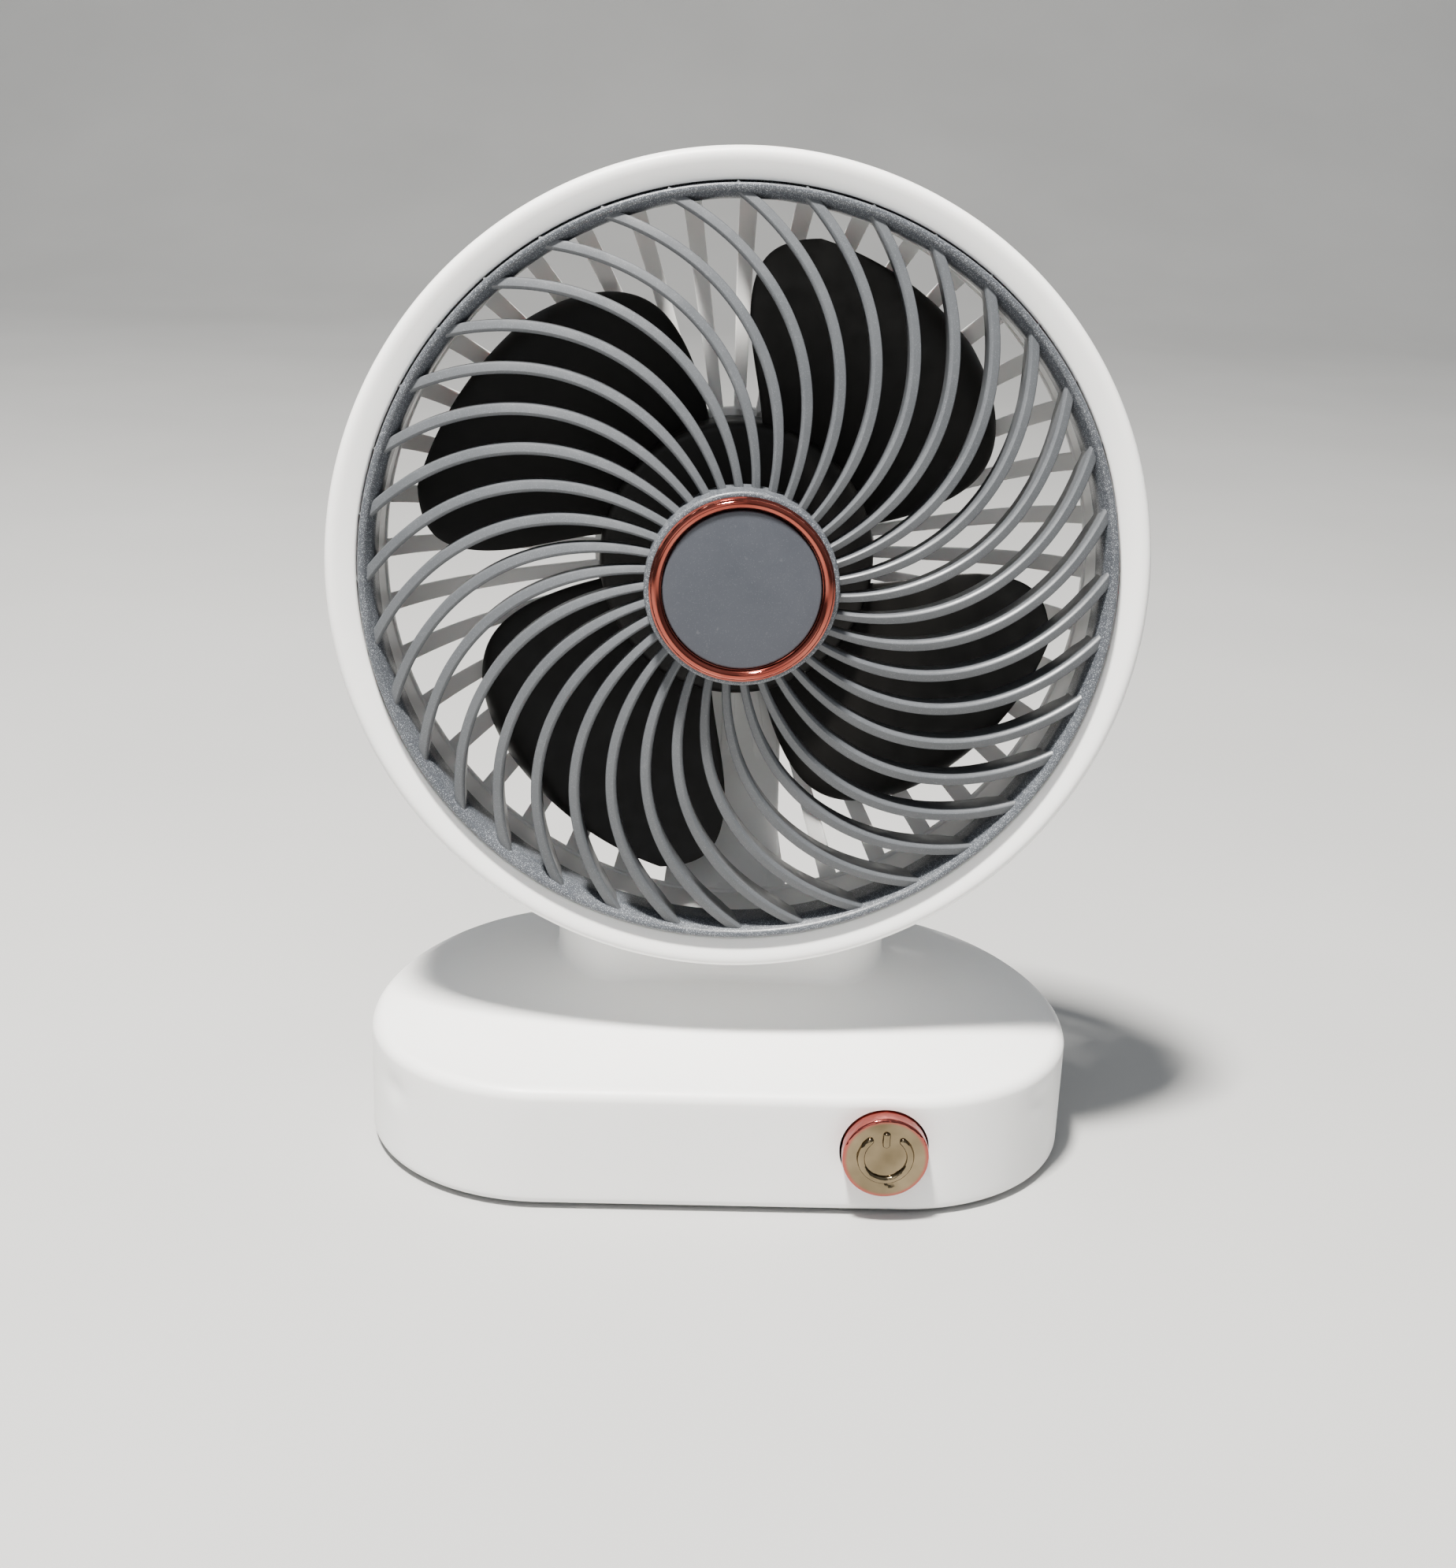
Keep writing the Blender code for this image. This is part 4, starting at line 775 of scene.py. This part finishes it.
def make_shell():
    """The base: one closed profile of ovals. It runs up the rounded outer wall, over the top edge and the
    deck, up the neck to its slot, down through the slot, and back along the inside to the bottom edge. The
    button's hole and the charging port's opening are cut through it."""
    def base_ring(inset):
        return oval(HALF_WIDTH - inset, HALF_DEPTH - inset)

    def neck_ring(out):
        return oval(NECK[0] + out, NECK[1] + out) + np.array([0.0, NECK[2]])

    bottom_z = 1.0
    low_z = bottom_z + FOOT_EDGE
    rings = [level(base_ring(WALL), bottom_z)]
    for a in np.linspace(0.0, np.pi / 2, 9):
        rings.append(level(base_ring(FOOT_EDGE * (1 - np.sin(a))), low_z - FOOT_EDGE * np.cos(a)))
    top = base_ring(0.0)
    high_z = deck(top[:, 0], top[:, 1]) - TOP_EDGE
    for s in np.linspace(0.0, 1.0, 16)[1:]:
        rings.append(level(top, low_z + (high_z - low_z) * s))
    for a in np.linspace(0.0, np.pi / 2, 10)[1:]:
        ring = base_ring(TOP_EDGE * (1 - np.cos(a)))
        rings.append(level(ring, deck(ring[:, 0], ring[:, 1]) - TOP_EDGE * (1 - np.sin(a))))
    outer_wall_rings = 30  # the rounded bottom edge, the wall and the lower half of the rounded top edge
    outer, inner = base_ring(TOP_EDGE), neck_ring(NECK_FILLET)
    for s in np.linspace(0.0, 1.0, 64)[1:]:
        ring = outer + (inner - outer) * s
        rings.append(level(ring, deck(ring[:, 0], ring[:, 1])))
    for a in np.linspace(0.0, np.pi / 2, 10)[1:]:
        ring = neck_ring(NECK_FILLET * (1 - np.sin(a)))
        rings.append(level(ring, deck(ring[:, 0], ring[:, 1]) + NECK_FILLET * (1 - np.cos(a))))
    neck_z = rings[-1][:, 2]
    for s in (0.3, 0.65, 1.0):
        rings.append(level(neck_ring(0.0), neck_z + (NECK_TOP - NECK_EDGE - neck_z) * s))
    for a in np.linspace(0.0, np.pi / 2, 7)[1:]:
        rings.append(level(neck_ring(-NECK_EDGE * (1 - np.cos(a))), NECK_TOP - NECK_EDGE * (1 - np.sin(a))))
    for grow, drop in ((0.5, 0.0), (0.12, 0.12), (0.0, 0.5), (0.0, 2.0)):
        slot = slot_outline(SLOT[0] + grow, SLOT[1] + grow, SLOT_CORNER + grow) + np.array([0.0, SLOT[2]])
        rings.append(level(slot, NECK_TOP - drop))
    under = neck_ring(-NECK_WALL)
    rings.append(level(under, NECK_TOP - 2.0))
    rings.append(level(under, deck(under[:, 0], under[:, 1]) - WALL))
    inside = base_ring(WALL)
    for s in (0.25, 0.5, 0.75, 1.0):
        ring = under + (inside - under) * s
        rings.append(level(ring, deck(ring[:, 0], ring[:, 1]) - WALL))
    grid = np.stack(rings)
    outer_wall = (grid[..., 1] < 0.0) & (np.arange(len(grid))[:, None] < outer_wall_rings)
    round_button = outer_wall & (grid[..., 1] < -HALF_DEPTH + 6.0)
    reach = np.hypot(grid[..., 0] - BUTTON_X, grid[..., 2] - BUTTON_Z)
    grid[..., 1] += np.where(round_button, 0.45 * np.exp(-((reach - 8.0) / 3.6) ** 2), 0.0)
    for x, z in DIMPLES:
        near = np.hypot(grid[..., 0] - x, grid[..., 2] - z)
        dent = np.where(outer_wall, 0.4 * np.exp(-(near / 2.6) ** 2), 0.0)
        grid[..., 0] -= dent * np.sign(grid[..., 0])
        grid[..., 1] += dent
    piece = mesh_piece("base_body", [(in_base(grid), True, True)], 40.0)
    hole_radius = BUTTON_RADIUS + 0.35
    hole = turned(np.array([[0.0, 1.0], [hole_radius, 1.0], [hole_radius, -5.0], [0.0, -5.0]]), 96)
    hole = np.stack([BUTTON_X + hole[..., 0], -HALF_DEPTH - hole[..., 2], BUTTON_Z + hole[..., 1]], -1)
    cut_with(piece, mesh_piece("button_cutter", [(in_base(hole), True, False)]), 40.0)
    port_low, port_high = (np.array(corner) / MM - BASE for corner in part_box("charging_port"))
    half, middle = (port_high - port_low) / 2, (port_low + port_high) / 2
    tunnel = stacked(oval(half[0] + 0.4, half[2] + 0.4, 12), (35.0, 36.0, 41.0, 42.0))
    tunnel = np.stack([middle[0] + tunnel[..., 0], tunnel[..., 2], middle[2] + tunnel[..., 1]], -1)
    cut_with(piece, mesh_piece("port_cutter", [(in_base(ended(tunnel)), False, True)]), 40.0)
    return piece


def round_ended(along, end):
    """Size of a stroke with round ends for places along it: the root of 1 - d^2, where d runs from 0 to 1
    over the last share of each end."""
    over = np.clip(np.abs(along - 0.5) - (0.5 - end), 0.0, end) / end
    return np.sqrt(np.clip(1.0 - over ** 2, 0.0, 1.0))[:, None, None]


def make_button():
    """The plated button: a rounded rim round a dished face, with a raised power sign of rounded strokes, a
    flange that holds it inside the base and a stem behind."""
    flange, flange_front, flange_back = BUTTON_RADIUS + BUTTON_FLANGE, -3.4, -4.6
    inside, stem, stem_end = 8.0, 2.2, -7.6
    cap = rounded([(0.0, 2.5, 0), (4.2, 2.6, 3), (7.7, 3.45, 1.2), (BUTTON_RADIUS, BUTTON_DEPTH, 1.2),
                   (BUTTON_RADIUS, flange_front, 0.2), (flange, flange_front, 0.2),
                   (flange, flange_back, 0.2), (inside, flange_back, 0.2), (inside, 0.0, 0.5),
                   (stem, 0.0, 0.3), (stem, stem_end, 0.3), (0.0, stem_end, 0)], 8, closed=False)
    along = np.linspace(0.0, 1.0, 72)
    angle = np.radians(122.0 + 296.0 * along)
    outward = np.stack([np.cos(angle), np.sin(angle)], -1)
    round_angle = np.linspace(0.0, TURN, 16, endpoint=False)
    profile = np.stack([0.80 * np.cos(round_angle), 0.62 * np.sin(round_angle)], -1)
    ring = carried(5.25 * outward, outward, 3.12 + 0.0 * along, round_ended(along, 0.04) * profile[None])
    bar_path = np.stack([0.0 * along, 2.4 + 3.7 * along], -1)
    bar_side = np.stack([1.0 + 0.0 * along, 0.0 * along], -1)
    bar = carried(bar_path, bar_side, 3.0 + 0.0 * along, round_ended(along, 0.18) * profile[None])

    def facing(points):
        x, z = BUTTON_X + points[..., 0], BUTTON_Z + points[..., 1]
        return np.stack([x, -HALF_DEPTH - points[..., 2], z], -1)

    grids = [(in_base(facing(turned(cap, 128))), True, False), (in_base(facing(ended(ring))), False, True),
             (in_base(facing(ended(bar))), False, True)]
    return mesh_piece("button_cap", grids, 40.0)


# ------------------------------------------------------------------ put together
place(make_bezel(), LOOKS["white_plastic"], "head", "white_plastic", "front_bezel")
place(make_rim(), LOOKS["rim"], "head", "grey_plastic", "front_grille")
place(make_front_bars(), LOOKS["grey_plastic"], "head", "grey_plastic")
place(make_hub(), LOOKS["rim"], "head", "grey_plastic")
place(make_hub_ring(), LOOKS["rose_gold"], "head", "rose_gold", "hub_ring")
place(make_hub_cap(), LOOKS["cap"], "head", "grey_plastic", "hub_cap")
place(make_drum(), LOOKS["white_plastic"], "head", "white_plastic", "rear_housing")
place(make_guard_bars(), LOOKS["white_plastic"], "head", "white_plastic", "rear_guard")
place(make_spine(), LOOKS["white_plastic"], "head", "white_plastic")
place(make_motor_cover(), LOOKS["white_plastic"], "head", "white_plastic", "motor_cover")
place(make_rotor_hub(), LOOKS["dark_plastic"], "rotor", "dark_plastic", "fan_rotor")
place(make_blades(), LOOKS["dark_plastic"], "rotor", "dark_plastic")
place(make_shell(), LOOKS["white_plastic"], "base", "white_plastic", "base_shell")
place(make_button(), LOOKS["button"], "button", "rose_gold", "power_button")

place(make_housing_screws(), LOOKS["steel"], "head", "steel", *[f"housing_screw_{i}" for i in range(1, 5)])
place(make_base_screws(), LOOKS["steel"], "base", "steel", *[f"base_screw_{i}" for i in range(1, 5)])
place(make_feet(), LOOKS["rubber"], "base", "rubber",
      *[f"foot_{end}_{side}" for end in ("front", "back") for side in ("left", "right")])

SLOTS = {part["node"]: part["material_slot"] for part in frame["record"]["subparts"]}
for node, thing in frame["nodes"].items():
    thing.data.materials.clear()
    thing.data.materials.append(LOOKS[SLOTS[node]])


# ------------------------------------------------------------------ stage, light and camera
FAN_MIDDLE = (0.0, 0.0, 0.1)


def make_floor():
    """A pale sheet that lies flat and sweeps up behind in a quarter circle."""
    x = np.linspace(-3000.0, 3000.0, 25)
    front, flat_end, bend_radius, top = -2500.0, 1400.0, 900.0, 3200.0
    bend = np.radians(np.linspace(0.0, 90.0, 17))[1:]
    run = np.concatenate([np.linspace(front, flat_end, 12), flat_end + bend_radius * np.sin(bend),
                          [flat_end + bend_radius]])
    rise = np.concatenate([np.zeros(12), bend_radius * (1.0 - np.cos(bend)), [top]])
    grid = np.stack(np.broadcast_arrays(x[:, None], run, rise), -1)
    mesh = bpy.data.meshes.new("backdrop")
    mesh.from_pydata((grid.reshape(-1, 3) * MM).tolist(), [], quads(grid.shape[:2], 0, False, False).tolist())
    mesh.shade_smooth()
    floor = bpy.data.objects.new("backdrop", mesh)
    bpy.context.scene.collection.objects.link(floor)
    look = Look("paper", 0.9)
    tone = look.steps(look.noise(6.0, 3.0), [(0.3, (0.40, 0.40, 0.395)), (0.7, (0.43, 0.43, 0.425))])
    look.bump(look.noise(900.0, 3.0), 0.05, 0.2)
    mesh.materials.append(look.done(tone))


def add_light(name, place_at, aim, size, power, colour):
    """A square soft light that looks at a point. Places and size are in metres, and power in watts."""
    lamp = bpy.data.lights.new(name, "AREA")
    lamp.shape = "SQUARE"
    lamp.size = size
    lamp.energy = power
    lamp.color = colour
    light = bpy.data.objects.new(name, lamp)
    light.location = Vector(place_at)
    light.rotation_euler = (Vector(aim) - Vector(place_at)).to_track_quat("-Z", "Y").to_euler()
    bpy.context.scene.collection.objects.link(light)


def add_camera():
    """The camera: it looks down at the fan from a little left of its front, slightly rolled. Angles are in
    degrees and lengths in mm."""
    turn, pitch, roll = (math.radians(angle) for angle in (-2.05, 19.46, 2.22))
    distance, lens, sensor = 469.15, 48.84, 36.0
    target = np.array([-0.17, BASE[1], 84.21])
    look = np.array([-math.sin(turn) * math.cos(pitch), math.cos(turn) * math.cos(pitch), -math.sin(pitch)])
    right = np.array([math.cos(turn), math.sin(turn), 0.0])
    above = np.cross(right, look)
    right, above = (math.cos(roll) * right + math.sin(roll) * above,
                    -math.sin(roll) * right + math.cos(roll) * above)
    place_at = (target - distance * look) * MM
    columns = np.stack([right, above, -look, place_at], -1)
    data = bpy.data.cameras.new("camera")
    data.lens = lens
    data.sensor_width = sensor
    data.clip_start = 0.01
    camera = bpy.data.objects.new("camera", data)
    camera.matrix_world = Matrix([*columns.tolist(), [0.0, 0.0, 0.0, 1.0]])
    bpy.context.scene.collection.objects.link(camera)
    bpy.context.scene.camera = camera


def add_world():
    """Pale surroundings that are bright overhead and dimmer towards the horizon, for depth in the plating."""
    world = bpy.data.worlds.new("surroundings")
    world.use_nodes = True
    nodes, links = world.node_tree.nodes, world.node_tree.links
    shade = nodes["Background"]
    shade.inputs["Strength"].default_value = 0.5
    where = nodes.new("ShaderNodeTexCoord")
    split = nodes.new("ShaderNodeSeparateXYZ")
    links.new(where.outputs["Generated"], split.inputs["Vector"])
    ramp = nodes.new("ShaderNodeValToRGB")
    stops = [(0.05, (0.34, 0.36, 0.38)), (0.75, (0.88, 0.93, 1.0))]
    for element, (at, colour) in zip(ramp.color_ramp.elements, stops):
        element.position = at
        element.color = (*colour, 1.0)
    links.new(split.outputs["Z"], ramp.inputs["Fac"])
    links.new(ramp.outputs["Color"], shade.inputs["Color"])
    bpy.context.scene.world = world


make_floor()
add_world()
add_light("overhead_key", (-0.24, -0.38, 1.35), FAN_MIDDLE, 0.15, 88.0, (1.0, 0.97, 0.92))
add_light("front_panel", (-0.5, -1.5, 0.8), FAN_MIDDLE, 1.1, 5.0, (0.97, 0.98, 1.0))
add_camera()
